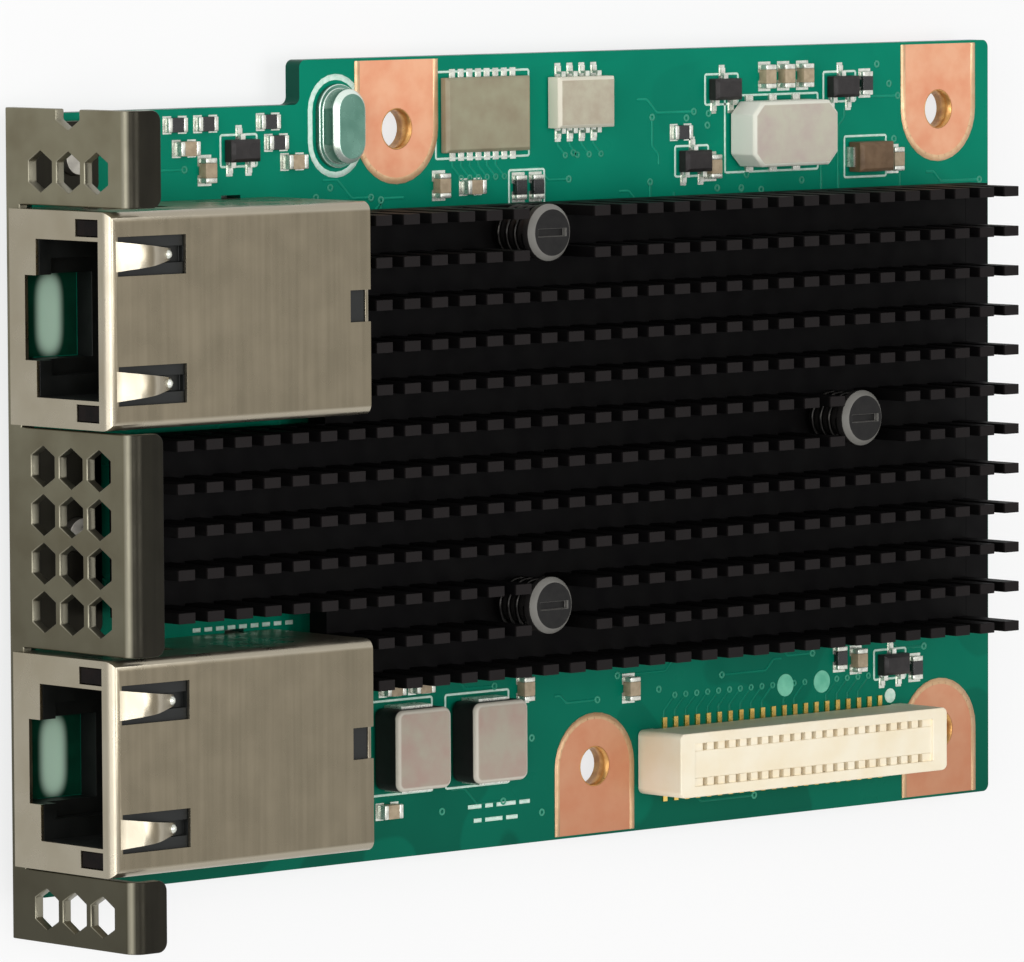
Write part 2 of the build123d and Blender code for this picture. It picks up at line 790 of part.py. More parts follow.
# Push pins: slotted head, shank through base and board, split barbed tip
with BuildPart() as push_pins:
    head_low = base_high + spring_height
    shank_low = -board_thickness - barb_gap
    with BuildSketch(board_plane(shank_low)):
        with Locations(*push_pins_at):
            Circle(push_pin_radius)
    extrude(amount=head_low - shank_low)
    with BuildSketch(board_plane(head_low)):
        with Locations(*push_pins_at):
            Circle(push_head_radius)
    extrude(amount=push_head_height)
    head_rims = push_pins.edges().filter_by(GeomType.CIRCLE).group_by(Axis.Z)[-1]
    chamfer(head_rims, push_head_edge)
    with BuildSketch(board_plane(shank_low)):
        with Locations(*push_pins_at):
            Circle(barb_radius)
    barb_taper = degrees(atan((barb_radius - barb_tip_radius) / barb_length))
    extrude(amount=-barb_length, taper=barb_taper)
    with BuildSketch(board_plane(shank_low - barb_length)):
        with Locations(*push_pins_at):
            Rectangle(2 * barb_radius, barb_slit)
    extrude(amount=barb_length + board_thickness, mode=Mode.SUBTRACT)
    with BuildSketch(board_plane(head_low + push_head_height - push_head_slot_depth)):
        with Locations(*push_pins_at):
            Rectangle(push_head_slot_length, push_head_slot_width)
    extrude(amount=push_head_slot_depth, mode=Mode.SUBTRACT)
push_pins.part.label = "push_pins"
export_step(push_pins.part, "parts/push_pins.step")

with BuildPart() as push_pin_springs:
    coil_rise = spring_height - spring_wire - 2 * spring_seat_gap
    for x, y in push_pins_at:
        coil_foot = board_plane(base_high + spring_seat_gap + spring_wire / 2).from_local_coords((x, y))
        with BuildLine() as coil:
            Helix(pitch=coil_rise / spring_turns, height=coil_rise, radius=spring_radius, center=coil_foot)
        with BuildSketch(Plane(origin=coil.line @ 0, x_dir=(1, 0, 0), z_dir=coil.line % 0)):
            Rectangle(spring_wire, spring_wire)
        sweep(path=coil.line, is_frenet=True)
push_pin_springs.part.label = "push_pin_springs"
export_step(push_pin_springs.part, "parts/push_pin_springs.step")

# Controller and the pad that takes its heat into the sink
with BuildPart() as controller_substrate:
    with BuildSketch(board_plane(0)):
        with Locations((controller_x, controller_y)):
            Rectangle(substrate_size, substrate_size)
    extrude(amount=substrate_thickness)
controller_substrate.part.label = "controller_substrate"
export_step(controller_substrate.part, "parts/controller_substrate.step")

with BuildPart() as controller_lid:
    with BuildSketch(board_plane(substrate_thickness)):
        with Locations((controller_x, controller_y)):
            Rectangle(lid_size, lid_size)
    extrude(amount=lid_thickness)
    chamfer(controller_lid.faces().sort_by(Axis.Z)[-1].edges(), lid_edge)
controller_lid.part.label = "controller_lid"
export_step(controller_lid.part, "parts/controller_lid.step")

with BuildPart() as thermal_pad:
    with BuildSketch(board_plane(substrate_thickness + lid_thickness)):
        with Locations((controller_x, controller_y)):
            Rectangle(thermal_pad_size, thermal_pad_size)
    extrude(amount=thermal_pad_thickness)
thermal_pad.part.label = "thermal_pad"
export_step(thermal_pad.part, "parts/thermal_pad.step")

# Connector: a frame of walls with a tongue down its middle, open beneath for the contacts' tails
connector_front = lower_fixing_front_x + connector_front_gap
connector_length = fixing_rear_x - connector_rear_gap - connector_front
connector_x = connector_front + connector_length / 2
connector_y = connector_edge_inset + connector_width / 2
slot_length = connector_length - 2 * connector_end
slot_width = connector_width / 2 - connector_wall - connector_tongue / 2
slot_offset = connector_tongue / 2 + slot_width / 2
with BuildPart() as connector_body:
    with BuildSketch(board_plane(0)):
        with Locations((connector_x, connector_y)):
            RectangleRounded(connector_length, connector_width, connector_corner)
        with Locations((connector_x, connector_y - slot_offset), (connector_x, connector_y + slot_offset)):
            Rectangle(slot_length, slot_width, mode=Mode.SUBTRACT)
    extrude(amount=connector_height)
    with BuildSketch(board_plane(0)):
        with Locations((connector_x, connector_y)):
            Rectangle(slot_length, connector_width)
    extrude(amount=connector_lift, mode=Mode.SUBTRACT)
    with BuildSketch(board_plane(connector_height - connector_tongue_drop)):
        with Locations((connector_x, connector_y)):
            Rectangle(slot_length, connector_tongue)
    extrude(amount=connector_tongue_drop, mode=Mode.SUBTRACT)
connector_body.part.label = "connector_body"
export_step(connector_body.part, "parts/connector_body.step")

# Each contact stands against the tongue and turns out under the wall to its solder tail
with BuildPart() as connector_contacts:
    contact_total = floor((slot_length - connector_contact_width) / connector_contact_pitch)
    blade_top = connector_height - connector_contact_drop
    blade_inner = connector_tongue / 2
    blade_outer = blade_inner + connector_contact_thickness
    tail_outer = connector_width / 2 + connector_tail_reach
    row_front = connector_x - (contact_total - 1) / 2 * connector_contact_pitch - connector_contact_width / 2
    row = [across_plane(row_front + index * connector_contact_pitch) for index in range(contact_total)]
    with BuildSketch(*row):
        for side in (-1, 1):
            with BuildLine():
                Polyline(
                    (connector_y + side * blade_inner, 0),
                    (connector_y + side * blade_inner, blade_top),
                    (connector_y + side * blade_outer, blade_top),
                    (connector_y + side * blade_outer, connector_contact_thickness),
                    (connector_y + side * tail_outer, connector_contact_thickness),
                    (connector_y + side * tail_outer, 0),
                    close=True,
                )
            make_face()
    extrude(amount=connector_contact_width)
connector_contacts.part.label = "connector_contacts"
export_step(connector_contacts.part, "parts/connector_contacts.step")

# Power chokes with a clip at each end
choke_places = [(choke_front_x, choke_y), (choke_front_x + choke_spacing, choke_y)]
with BuildPart() as power_choke_bodies:
    with BuildSketch(board_plane(clip_thickness)):
        with Locations(*choke_places):
            RectangleRounded(choke_width, choke_length, choke_corner)
    extrude(amount=choke_height - clip_thickness)
    chamfer(power_choke_bodies.faces().sort_by(Axis.Z)[-2:].edges(), chip_edge)
power_choke_bodies.part.label = "power_choke_bodies"
export_step(power_choke_bodies.part, "parts/power_choke_bodies.step")

with BuildPart() as power_choke_clips:
    for x, y in choke_places:
        for side in (-1, 1):
            end = y + side * choke_length / 2
            with BuildSketch(across_plane(x - clip_width / 2)):
                with BuildLine():
                    Polyline(
                        (end - side * clip_foot, 0),
                        (end + side * clip_thickness, 0),
                        (end + side * clip_thickness, clip_height),
                        (end, clip_height),
                        (end, clip_thickness),
                        (end - side * clip_foot, clip_thickness),
                        close=True,
                    )
                make_face()
            extrude(amount=clip_width)
power_choke_clips.part.label = "power_choke_clips"
export_step(power_choke_clips.part, "parts/power_choke_clips.step")

# Supply inductor: a pale block with cut corners over rows of flat pins
inductor_x = board_rear - inductor_rear_inset
inductor_y = board_width - inductor_edge_inset
with BuildPart() as supply_inductor_body:
    with BuildSketch(board_plane(lead_thickness)):
        with Locations((inductor_x, inductor_y)):
            block = Rectangle(inductor_length, inductor_width)
        chamfer(block.vertices(), inductor_corner)
    extrude(amount=inductor_height - lead_thickness)
    chamfer(supply_inductor_body.faces().sort_by(Axis.Z)[-1].edges(), chip_edge)
supply_inductor_body.part.label = "supply_inductor_body"
export_step(supply_inductor_body.part, "parts/supply_inductor_body.step")

with BuildPart() as supply_inductor_pins:
    with BuildSketch(board_plane(0)):
        pin_middle = inductor_width / 2 + inductor_pin_reach - inductor_pin_length / 2
        with Locations((inductor_x, inductor_y - pin_middle), (inductor_x, inductor_y + pin_middle)):
            with GridLocations(inductor_pin_pitch, 0, inductor_pin_count, 1):
                Rectangle(inductor_pin_width, inductor_pin_length)
    extrude(amount=lead_thickness)
supply_inductor_pins.part.label = "supply_inductor_pins"
export_step(supply_inductor_pins.part, "parts/supply_inductor_pins.step")

# Crystal: a drawn oval can on a flange
crystal_y = board_width - crystal_edge_inset
with BuildPart() as crystal_can:
    with BuildSketch(board_plane(0)):
        with Locations((crystal_x, crystal_y)):
            SlotOverall(crystal_length, crystal_width, rotation=90)
    extrude(amount=crystal_flange_height)
    with BuildSketch(board_plane(crystal_flange_height)):
        with Locations((crystal_x, crystal_y)):
            SlotOverall(crystal_length - 2 * crystal_flange, crystal_width - 2 * crystal_flange, rotation=90)
    extrude(amount=crystal_height - crystal_flange_height)
    chamfer(crystal_can.faces().sort_by(Axis.Z)[-1].edges(), crystal_flange)
crystal_can.part.label = "crystal_can"
export_step(crystal_can.part, "parts/crystal_can.step")

# Flat interface chip with pads along its two long edges
interface_y = board_width - interface_edge_inset
with BuildPart() as interface_chip_body:
    with BuildSketch(board_plane(chip_lift)):
        with Locations((interface_x, interface_y)):
            Rectangle(interface_length, interface_width)
    extrude(amount=interface_height - chip_lift)
    chamfer(interface_chip_body.faces().sort_by(Axis.Z)[-1].edges(), chip_edge)
interface_chip_body.part.label = "interface_chip_body"
export_step(interface_chip_body.part, "parts/interface_chip_body.step")

with BuildPart() as interface_chip_pads:
    with BuildSketch(board_plane(0)):
        pad_middle = interface_width / 2
        with Locations((interface_x, interface_y - pad_middle), (interface_x, interface_y + pad_middle)):
            with GridLocations(interface_pad_pitch, 0, interface_pad_count, 1):
                Rectangle(interface_pad_width, 2 * interface_pad_reach)
    extrude(amount=chip_lift)
interface_chip_pads.part.label = "interface_chip_pads"
export_step(interface_chip_pads.part, "parts/interface_chip_pads.step")


def gull_lead(side, inner, height):
    """Points of one gull-wing lead, seen along the row: out of the body, down and out on the board."""
    knee = inner + lead_reach / 2
    toe = inner + lead_reach
    return [
        (side * inner, height - lead_thickness),
        (side * inner, height),
        (side * knee, height),
        (side * knee, lead_thickness),
        (side * toe, lead_thickness),
        (side * toe, 0),
        (side * (knee - lead_thickness), 0),
        (side * (knee - lead_thickness), height - lead_thickness),
    ]


# Memory chip with gull-wing leads
memory_y = board_width - memory_edge_inset
with BuildPart() as memory_chip_body:
    with BuildSketch(board_plane(chip_lift)):
        with Locations((memory_x, memory_y)):
            Rectangle(memory_length, memory_width)
    extrude(amount=memory_height - chip_lift)
    chamfer(memory_chip_body.faces().sort_by(Axis.Z)[-1].edges(), chip_edge)
memory_chip_body.part.label = "memory_chip_body"
export_step(memory_chip_body.part, "parts/memory_chip_body.step")

with BuildPart() as memory_chip_leads:
    lead_front = memory_x - (memory_lead_count - 1) / 2 * memory_lead_pitch - memory_lead_width / 2
    lead_xs = [lead_front + index * memory_lead_pitch for index in range(memory_lead_count)]
    with BuildSketch(*[across_plane(x, memory_y) for x in lead_xs]):
        for side in (-1, 1):
            with BuildLine():
                Polyline(*gull_lead(side, memory_width / 2, memory_height / 2), close=True)
            make_face()
    extrude(amount=memory_lead_width)
memory_chip_leads.part.label = "memory_chip_leads"
export_step(memory_chip_leads.part, "parts/memory_chip_leads.step")

# Small moulded chips: two leads on one long side, one on the other
small_chip_places = [
    (21.3, step_y - 3.3),
    (board_rear - 30.1, board_width - 3.3),
    (board_rear - 33.4, board_width - 8.9),
    (board_rear - 17.0, board_width - 3.4),
    (board_rear - 11.4, 11.3),
]
with BuildPart() as small_chip_bodies:
    with BuildSketch(board_plane(chip_lift)):
        with Locations(*small_chip_places):
            Rectangle(small_chip_length, small_chip_width)
    extrude(amount=small_chip_height - chip_lift)
    top_faces = small_chip_bodies.faces().filter_by(Axis.Z).group_by(Axis.Z)[-1]
    chamfer(top_faces.edges(), chip_edge)
small_chip_bodies.part.label = "small_chip_bodies"
export_step(small_chip_bodies.part, "parts/small_chip_bodies.step")

with BuildPart() as small_chip_leads:
    for side, along in ((-1, -small_chip_lead_pitch / 2), (-1, small_chip_lead_pitch / 2), (1, 0)):
        lead_start = along - small_chip_lead_width / 2
        with BuildSketch(*[across_plane(x + lead_start, y) for x, y in small_chip_places]):
            with BuildLine():
                Polyline(*gull_lead(side, small_chip_width / 2, small_chip_height / 2), close=True)
            make_face()
        extrude(amount=small_chip_lead_width)
small_chip_leads.part.label = "small_chip_leads"
export_step(small_chip_leads.part, "parts/small_chip_leads.step")

# Brown block capacitor with folded end terminals
block_x = board_rear - block_rear_inset
block_y = board_width - block_edge_inset
with BuildPart() as block_capacitor_body:
    with BuildSketch(board_plane(chip_lift)):
        with Locations((block_x, block_y)):
            Rectangle(block_length - 2 * lead_thickness, block_width)
    extrude(amount=block_height - chip_lift)
    chamfer(block_capacitor_body.faces().sort_by(Axis.Z)[-1].edges(), chip_edge)
block_capacitor_body.part.label = "block_capacitor_body"
export_step(block_capacitor_body.part, "parts/block_capacitor_body.step")

with BuildPart() as block_capacitor_ends:
    for side in (-1, 1):
        end = block_x + side * block_length / 2
        with BuildSketch(along_plane(block_y)):
            with BuildLine():
                Polyline(
                    (end, 0),
                    (end, block_height / 2),
                    (end - side * lead_thickness, block_height / 2),
                    (end - side * lead_thickness, chip_lift),
                    (end - side * block_foot, chip_lift),
                    (end - side * block_foot, 0),
                    close=True,
                )
            make_face()
        extrude(amount=block_end_width / 2, both=True)
block_capacitor_ends.part.label = "block_capacitor_ends"
export_step(block_capacitor_ends.part, "parts/block_capacitor_ends.step")

# Chip parts: place on the board and turn in degrees
capacitor_sites = [
    (15.9, step_y - 3.0, 0),
    (17.9, step_y - 4.7, 90),
    (26.6, step_y - 4.3, 0),
    (41.5, board_width - 10.0, 90),
    (44.8, board_width - 10.2, 0),
    (board_rear - 25.4, board_width - 2.4, 90),
    (board_rear - 23.3, board_width - 2.4, 90),
    (board_rear - 21.2, board_width - 2.4, 90),
    (board_rear - 11.0, board_width - 9.4, 90),
    (board_rear - 31.4, board_width - 9.4, 90),
    (36.2, 13.2, 0),
    (39.2, 13.2, 0),
    (50.0, 12.2, 90),
    (35.8, 3.7, 0),
    (61.3, 11.4, 90),
    (board_rear - 15.3, 11.9, 90),
]
resistor_sites = [
    (15.0, step_y - 1.2, 0),
    (18.0, step_y - 1.2, 0),
    (24.2, step_y - 1.2, 0),
    (25.0, step_y - 2.8, 0),
    (49.8, board_width - 10.4, 90),
    (51.6, board_width - 10.4, 90),
    (board_rear - 14.2, board_width - 3.2, 90),
    (board_rear - 34.6, board_width - 6.6, 0),
    (board_rear - 17.2, 12.2, 90),
    (board_rear - 8.6, 10.8, 90),
]
capacitor_places = [Location((x, y, 0), (0, 0, turn)) for x, y, turn in capacitor_sites]
resistor_places = [Location((x, y, 0), (0, 0, turn)) for x, y, turn in resistor_sites]
chip_body = chip_length - 2 * chip_cap
cap_offset = (chip_length - chip_cap) / 2
with BuildPart() as chip_capacitors:
    with BuildSketch(board_plane(0)):
        with Locations(*capacitor_places):
            Rectangle(chip_body, chip_width)
    extrude(amount=capacitor_height)
    with BuildSketch(board_plane(-board_thickness - capacitor_height)):
        with Locations((controller_x, controller_y)):
            with GridLocations(underside_pitch, underside_pitch, underside_columns, underside_rows):
                Rectangle(chip_body, chip_width)
    extrude(amount=capacitor_height)
chip_capacitors.part.label = "chip_capacitors"
export_step(chip_capacitors.part, "parts/chip_capacitors.step")

with BuildPart() as chip_resistors:
    with BuildSketch(board_plane(0)):
        with Locations(*resistor_places):
            Rectangle(chip_body, chip_width)
    extrude(amount=resistor_height)
chip_resistors.part.label = "chip_resistors"
export_step(chip_resistors.part, "parts/chip_resistors.step")

with BuildPart() as chip_end_caps:
    with BuildSketch(board_plane(0)):
        with Locations(*capacitor_places):
            with Locations((-cap_offset, 0), (cap_offset, 0)):
                Rectangle(chip_cap, chip_width)
    extrude(amount=capacitor_height)
    with BuildSketch(board_plane(0)):
        with Locations(*resistor_places):
            with Locations((-cap_offset, 0), (cap_offset, 0)):
                Rectangle(chip_cap, chip_width)
    extrude(amount=resistor_height)
    with BuildSketch(board_plane(-board_thickness - capacitor_height)):
        with Locations((controller_x, controller_y)):
            with GridLocations(underside_pitch, underside_pitch, underside_columns, underside_rows):
                with Locations((-cap_offset, 0), (cap_offset, 0)):
                    Rectangle(chip_cap, chip_width)
    extrude(amount=capacitor_height)
chip_end_caps.part.label = "chip_end_caps"
export_step(chip_end_caps.part, "parts/chip_end_caps.step")

with BuildPart() as test_pads:
    with BuildSketch(board_plane(0)):
        test_x = board_rear - test_pad_rear_inset
        with Locations((test_x, test_pad_y)):
            with GridLocations(test_pad_spacing, 0, 2, 1):
                Circle(test_pad_radius)
    extrude(amount=copper_thickness)
test_pads.part.label = "test_pads"
export_step(test_pads.part, "parts/test_pads.step")
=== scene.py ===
"""Looks of a two-port mezzanine network card: finishes, fine detail, light and camera."""

import logging
import math
import random
from dataclasses import dataclass
from enum import Enum
from typing import Iterable, Sequence

import bmesh
import bpy
from mathutils import Matrix, Vector


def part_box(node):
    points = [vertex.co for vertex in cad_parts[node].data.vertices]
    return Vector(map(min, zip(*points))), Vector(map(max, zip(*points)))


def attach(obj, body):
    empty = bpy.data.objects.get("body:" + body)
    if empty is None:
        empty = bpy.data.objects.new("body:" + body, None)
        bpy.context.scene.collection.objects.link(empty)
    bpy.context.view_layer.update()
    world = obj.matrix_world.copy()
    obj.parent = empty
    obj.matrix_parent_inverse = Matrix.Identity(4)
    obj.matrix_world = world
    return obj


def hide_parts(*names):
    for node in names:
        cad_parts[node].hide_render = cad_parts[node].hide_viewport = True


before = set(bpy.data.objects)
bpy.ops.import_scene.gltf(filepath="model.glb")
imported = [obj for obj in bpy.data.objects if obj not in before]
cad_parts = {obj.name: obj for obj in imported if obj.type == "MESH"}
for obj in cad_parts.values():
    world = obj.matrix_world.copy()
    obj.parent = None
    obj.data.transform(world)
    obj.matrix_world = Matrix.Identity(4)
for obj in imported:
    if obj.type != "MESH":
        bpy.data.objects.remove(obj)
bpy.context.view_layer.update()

MM = 0.001
BODY = "root"
MERGE_MM = 0.0005
FLAT_DEGREES = 0.5
SHARP_DEGREES = 35
Colour = tuple[float, float, float, float]
Span = tuple[float, float]
Place = tuple[float, float]
Size = tuple[float, float, float]
Line = Sequence[Place]
Socket = bpy.types.NodeSocket
log = logging.getLogger("network_card")


def screen(red: int, green: int, blue: int) -> Colour:
    """Turn a screen colour into the linear colour that shaders take.

    Args:
        red: Red from 0 to 255.
        green: Green from 0 to 255.
        blue: Blue from 0 to 255.

    Returns:
        Linear red, green, blue and an alpha of 1.
    """
    def linear(level: int) -> float:
        """Undo the screen curve for one channel."""
        share = level / 255
        return share / 12.92 if share <= 0.04045 else ((share + 0.055) / 1.055) ** 2.4

    return (linear(red), linear(green), linear(blue), 1.0)


class Sketch:
    """A material's node tree, with short calls for the nodes that the finishes share."""

    def __init__(self, name: str) -> None:
        """Start a material with one Principled shader and object coordinates.

        Args:
            name: Name of the material.
        """
        self.material = bpy.data.materials.new(name)
        self.material.use_nodes = True
        self.tree = self.material.node_tree
        self.shader = self.tree.nodes["Principled BSDF"]
        self.place = self.tree.nodes.new("ShaderNodeTexCoord")

    def add(self, kind: str, inputs: dict, **settings: object) -> bpy.types.Node:
        """Add one node.

        Args:
            kind: The node's type name.
            inputs: Socket name or number to a value or to another node's output.
            settings: Attributes to set on the node itself.

        Returns:
            The new node.
        """
        node = self.tree.nodes.new(kind)
        for key, value in settings.items():
            setattr(node, key, value)
        for key, value in inputs.items():
            self.feed(node.inputs[key], value)
        return node

    def feed(self, socket: Socket, value: object) -> None:
        """Link an output to a socket, or set the socket's own value.

        Args:
            socket: The input to feed.
            value: Another node's output, or a plain value.
        """
        if isinstance(value, Socket):
            self.tree.links.new(value, socket)
        else:
            socket.default_value = value

    def set(self, **inputs: object) -> None:
        """Feed the shader's sockets, with underscores for the spaces in their names."""
        for key, value in inputs.items():
            self.feed(self.shader.inputs[key.replace("_", " ")], value)

    def noise(self, size_mm: float, detail: float = 3.0, stretch: Size = (1, 1, 1)) -> Socket:
        """Cloudy noise on object coordinates.

        Args:
            size_mm: Rough size of one cloud in millimetres.
            detail: Octaves of finer noise.
            stretch: How much finer the noise is along each axis.

        Returns:
            The noise level, from 0 to 1.
        """
        scaled = self.add("ShaderNodeMapping", {"Vector": self.place.outputs["Object"], "Scale": stretch})
        clouds = self.add(
            "ShaderNodeTexNoise",
            {"Vector": scaled.outputs["Vector"], "Scale": 1 / (size_mm * MM), "Detail": detail},
        )
        return clouds.outputs[0]

    def span(self, value: Socket, reach: Span, levels: Span = (0.0, 1.0)) -> Socket:
        """Map a value's range onto another, clamped at both ends.

        Args:
            value: The value.
            reach: Where its range starts and ends.
            levels: What the start and the end turn into.

        Returns:
            The mapped value.
        """
        labels = ("From Min", "From Max", "To Min", "To Max")
        node = self.add("ShaderNodeMapRange", {"Value": value, **dict(zip(labels, (*reach, *levels)))})
        return node.outputs["Result"]

    def mix(self, share: object, first: object, second: object) -> Socket:
        """Blend two colours by a share from 0 to 1."""
        node = self.add("ShaderNodeMix", {0: share, 6: first, 7: second}, data_type="RGBA")
        return node.outputs[2]

    def maths(self, operation: str, first: object, second: object) -> Socket:
        """One sum on two numbers."""
        return self.add("ShaderNodeMath", {0: first, 1: second}, operation=operation).outputs[0]

    def facing(self, axis: str) -> Socket:
        """How far the surface faces along one axis, from -1 to 1."""
        parts = self.add("ShaderNodeSeparateXYZ", {"Vector": self.place.outputs["Normal"]})
        return parts.outputs[axis]

    def along(self, axis: str) -> Socket:
        """Object coordinate on one axis, in metres."""
        parts = self.add("ShaderNodeSeparateXYZ", {"Vector": self.place.outputs["Object"]})
        return parts.outputs[axis]

    def fade(self, colour: Socket, painted_shade: Colour, reach_mm: Span, share: float) -> Socket:
        """Blend a colour into a painted shade towards the card's lower edge.

        Args:
            colour: Colour away from that edge.
            painted_shade: Painted shade colour at that edge.
            reach_mm: Places across the card where the blend is full and where it ends.
            share: Share of the painted shade where the blend is full.

        Returns:
            The blended colour.
        """
        full, end = reach_mm
        return self.mix(self.span(self.along("Y"), (full * MM, end * MM), (share, 0.0)), colour, painted_shade)

    def bump(self, height: Socket, depth_mm: float, strength: float) -> None:
        """Put a height on the shader's normal."""
        node = self.add("ShaderNodeBump", {"Height": height, "Distance": depth_mm * MM, "Strength": strength})
        self.set(Normal=node.outputs["Normal"])


@dataclass(frozen=True)
class Finish:
    """A mottled finish: two near tones in clouds, uneven gloss and a fine grain.

    Attributes:
        name: Name of the material.
        tone: Main linear colour.
        worn: Second linear colour, in the clouds.
        roughness: Middle roughness.
        metallic: 0 for plastic and ceramic, 1 for metal.
        cloud_mm: Size of the clouds.
        grain_mm: Size of the fine grain.
        grain_depth_mm: Depth of the grain.
        grain_strength: Strength of the grain.
        specular: Specular level of the shader.
        cloud_span: Noise levels between which the clouds come in.
        gloss_span: Noise levels between which the gloss changes.
        gloss_spread: How far the roughness wanders from its middle.
    """

    name: str
    tone: Colour
    worn: Colour
    roughness: float = 0.5
    metallic: float = 0.0
    cloud_mm: float = 2.0
    grain_mm: float = 0.12
    grain_depth_mm: float = 0.01
    grain_strength: float = 0.5
    specular: float = 0.5
    cloud_span: Span = (0.35, 0.68)
    gloss_span: Span = (0.3, 0.7)
    gloss_spread: float = 0.08

    def colour(self, sketch: Sketch) -> Socket:
        """Clouds between the two tones."""
        return sketch.mix(sketch.span(sketch.noise(self.cloud_mm), self.cloud_span), self.tone, self.worn)

    def gloss(self, sketch: Sketch) -> Socket:
        """Roughness that wanders a little round its middle."""
        levels = (self.roughness - self.gloss_spread, self.roughness + self.gloss_spread)
        return sketch.span(sketch.noise(self.cloud_mm / 2), self.gloss_span, levels)

    def grain(self, sketch: Sketch) -> None:
        """Fine uneven grain."""
        sketch.bump(sketch.noise(self.grain_mm, detail=2.0), self.grain_depth_mm, self.grain_strength)

    def material(self) -> bpy.types.Material:
        """Build the material, or return it if it is already there.

        Returns:
            The finished material.
        """
        label = "finish_" + self.name
        ready = bpy.data.materials.get(label)
        if ready is not None:
            return ready
        sketch = Sketch(label)
        sketch.set(Base_Color=self.colour(sketch), Roughness=self.gloss(sketch), Metallic=self.metallic)
        sketch.set(Specular_IOR_Level=self.specular)
        self.grain(sketch)
        return sketch.material


@dataclass(frozen=True, kw_only=True)
class SheetFinish(Finish):
    """Plated sheet with drawn streaks across the card, painted shade on flat upward faces, painted highlight on
    bends.

    Attributes:
        upward: Painted shade colour of the flat upward faces.
        upward_shade_streak: Colour of the drawn streaks on that painted shade.
        bend: Painted highlight colour of the bends.
        bend_span: How far up a bend faces where its painted highlight starts and is full.
        flat_span: How far up a face looks where the upward colour starts and is full.
        streak_mm: Width of a streak.
        streak_stretch: How much finer the streaks are along each axis.
        streak_span: Noise levels between which a streak comes in.
        streak_share: Share of the streaks' colour where it is full.
    """

    upward: Colour
    upward_shade_streak: Colour
    bend: Colour
    bend_span: Span = (0.12, 0.3)
    flat_span: Span = (0.955, 0.995)
    streak_mm: float = 0.5
    streak_stretch: Size = (1, 0.03, 1)
    streak_span: Span = (0.35, 0.7)
    streak_share: float = 0.6

    def ground(self, sketch: Sketch) -> Socket:
        """Clouded plating on the faces that don't look up."""
        return super().colour(sketch)

    def flat_share(self, sketch: Sketch, facing: Socket) -> Socket:
        """Share of the upward painted shade by the way the surface faces."""
        return sketch.span(facing, self.flat_span)

    def colour(self, sketch: Sketch) -> Socket:
        """Clouds and streaks, with a painted highlight on the bends and painted shade on flat upward faces.

        Args:
            sketch: The material under construction.

        Returns:
            The base colour.
        """
        facing = sketch.facing("Z")
        clouds = sketch.mix(sketch.span(facing, self.bend_span), self.ground(sketch), self.bend)
        streaks = sketch.noise(self.streak_mm, detail=4.0, stretch=self.streak_stretch)
        share = sketch.span(streaks, self.streak_span, (0.0, self.streak_share))
        drawn = sketch.mix(share, self.upward, self.upward_shade_streak)
        return sketch.mix(self.flat_share(sketch, facing), clouds, drawn)


@dataclass(frozen=True, kw_only=True)
class BracketFinish(SheetFinish):
    """Plated sheet with a painted shade towards its lower end, which keeps the vents' walls out of the upward
    painted shade.

    Attributes:
        painted_shade: Painted shade tone at the lower end.
        painted_shade_mm: Places across the card where the painted shade is full and where it ends.
        painted_shade_share: Share of the painted shade where it is full.
        flange_height: Height in metres of the flanges' upward faces.
        flange_mm: Depths below that height where the upward tone starts and is full.
        foot_place: Place in metres along the card where the feet leave the sheet.
        foot_mm: Length over which the upward tone comes in on a foot.
    """

    painted_shade: Colour
    painted_shade_mm: Span = (-32.0, 25.0)
    painted_shade_share: float = 0.85
    flange_height: float
    flange_mm: Span = (0.6, 0.3)
    foot_place: float
    foot_mm: float = 0.2

    def ground(self, sketch: Sketch) -> Socket:
        """Clouded plating, with a painted shade towards the lower end."""
        return sketch.fade(super().ground(sketch), self.painted_shade, self.painted_shade_mm, self.painted_shade_share)

    def flat_share(self, sketch: Sketch, facing: Socket) -> Socket:
        """Share of the upward painted shade, on the flanges and the feet and not on the vents' walls.

        Args:
            sketch: The material under construction.
            facing: How far the surface faces up.

        Returns:
            The share, from 0 to 1.
        """
        start, full = (self.flange_height - depth * MM for depth in self.flange_mm)
        high = sketch.span(sketch.along("Z"), (start, full))
        behind = sketch.span(sketch.along("X"), (self.foot_place, self.foot_place + self.foot_mm * MM))
        shown = sketch.maths("MAXIMUM", high, behind)
        return sketch.maths("MULTIPLY", super().flat_share(sketch, facing), shown)


@dataclass(frozen=True, kw_only=True)
class TwoToneAndLitFinish(Finish):
    """A block with one tone on its ground top, another on its sides and a painted highlight on the rim between.

    Attributes:
        side: Colour of the sides: the ferrite's own dark colour, and painted light and shade on the other parts.
        rim: Painted highlight colour of the broken edge round the top.
        rim_span: How far up a face looks where the rim highlight starts and is full.
        top_span: How far up a face looks where the top starts and is full.
    """

    side: Colour
    rim: Colour
    rim_span: Span = (0.1, 0.3)
    top_span: Span = (0.9, 0.98)

    def colour(self, sketch: Sketch) -> Socket:
        """Top, painted rim highlight and side tones by the way the surface faces.

        Args:
            sketch: The material under construction.

        Returns:
            The base colour.
        """
        facing = sketch.facing("Z")
        top = sketch.span(facing, self.top_span)
        edge = sketch.span(facing, self.rim_span)
        return sketch.mix(top, sketch.mix(edge, self.side, self.rim), super().colour(sketch))


@dataclass(frozen=True, kw_only=True)
class PinFinish(Finish):
    """Black anodised metal whose pin tips are lighter: a little worn, with a painted highlight on them.

    Attributes:
        tip: Colour at the very top, worn metal with a painted highlight.
        tip_height: Height of the tips in metres.
        tip_mm: Depth over which the tips' colour comes in.
    """

    tip: Colour
    tip_height: float
    tip_mm: float = 0.25

    def colour(self, sketch: Sketch) -> Socket:
        """Black clouds, with the worn and painted highlight tone at the top."""
        near_top = sketch.span(sketch.along("Z"), (self.tip_height - self.tip_mm * MM, self.tip_height))
        return sketch.mix(near_top, super().colour(sketch), self.tip)


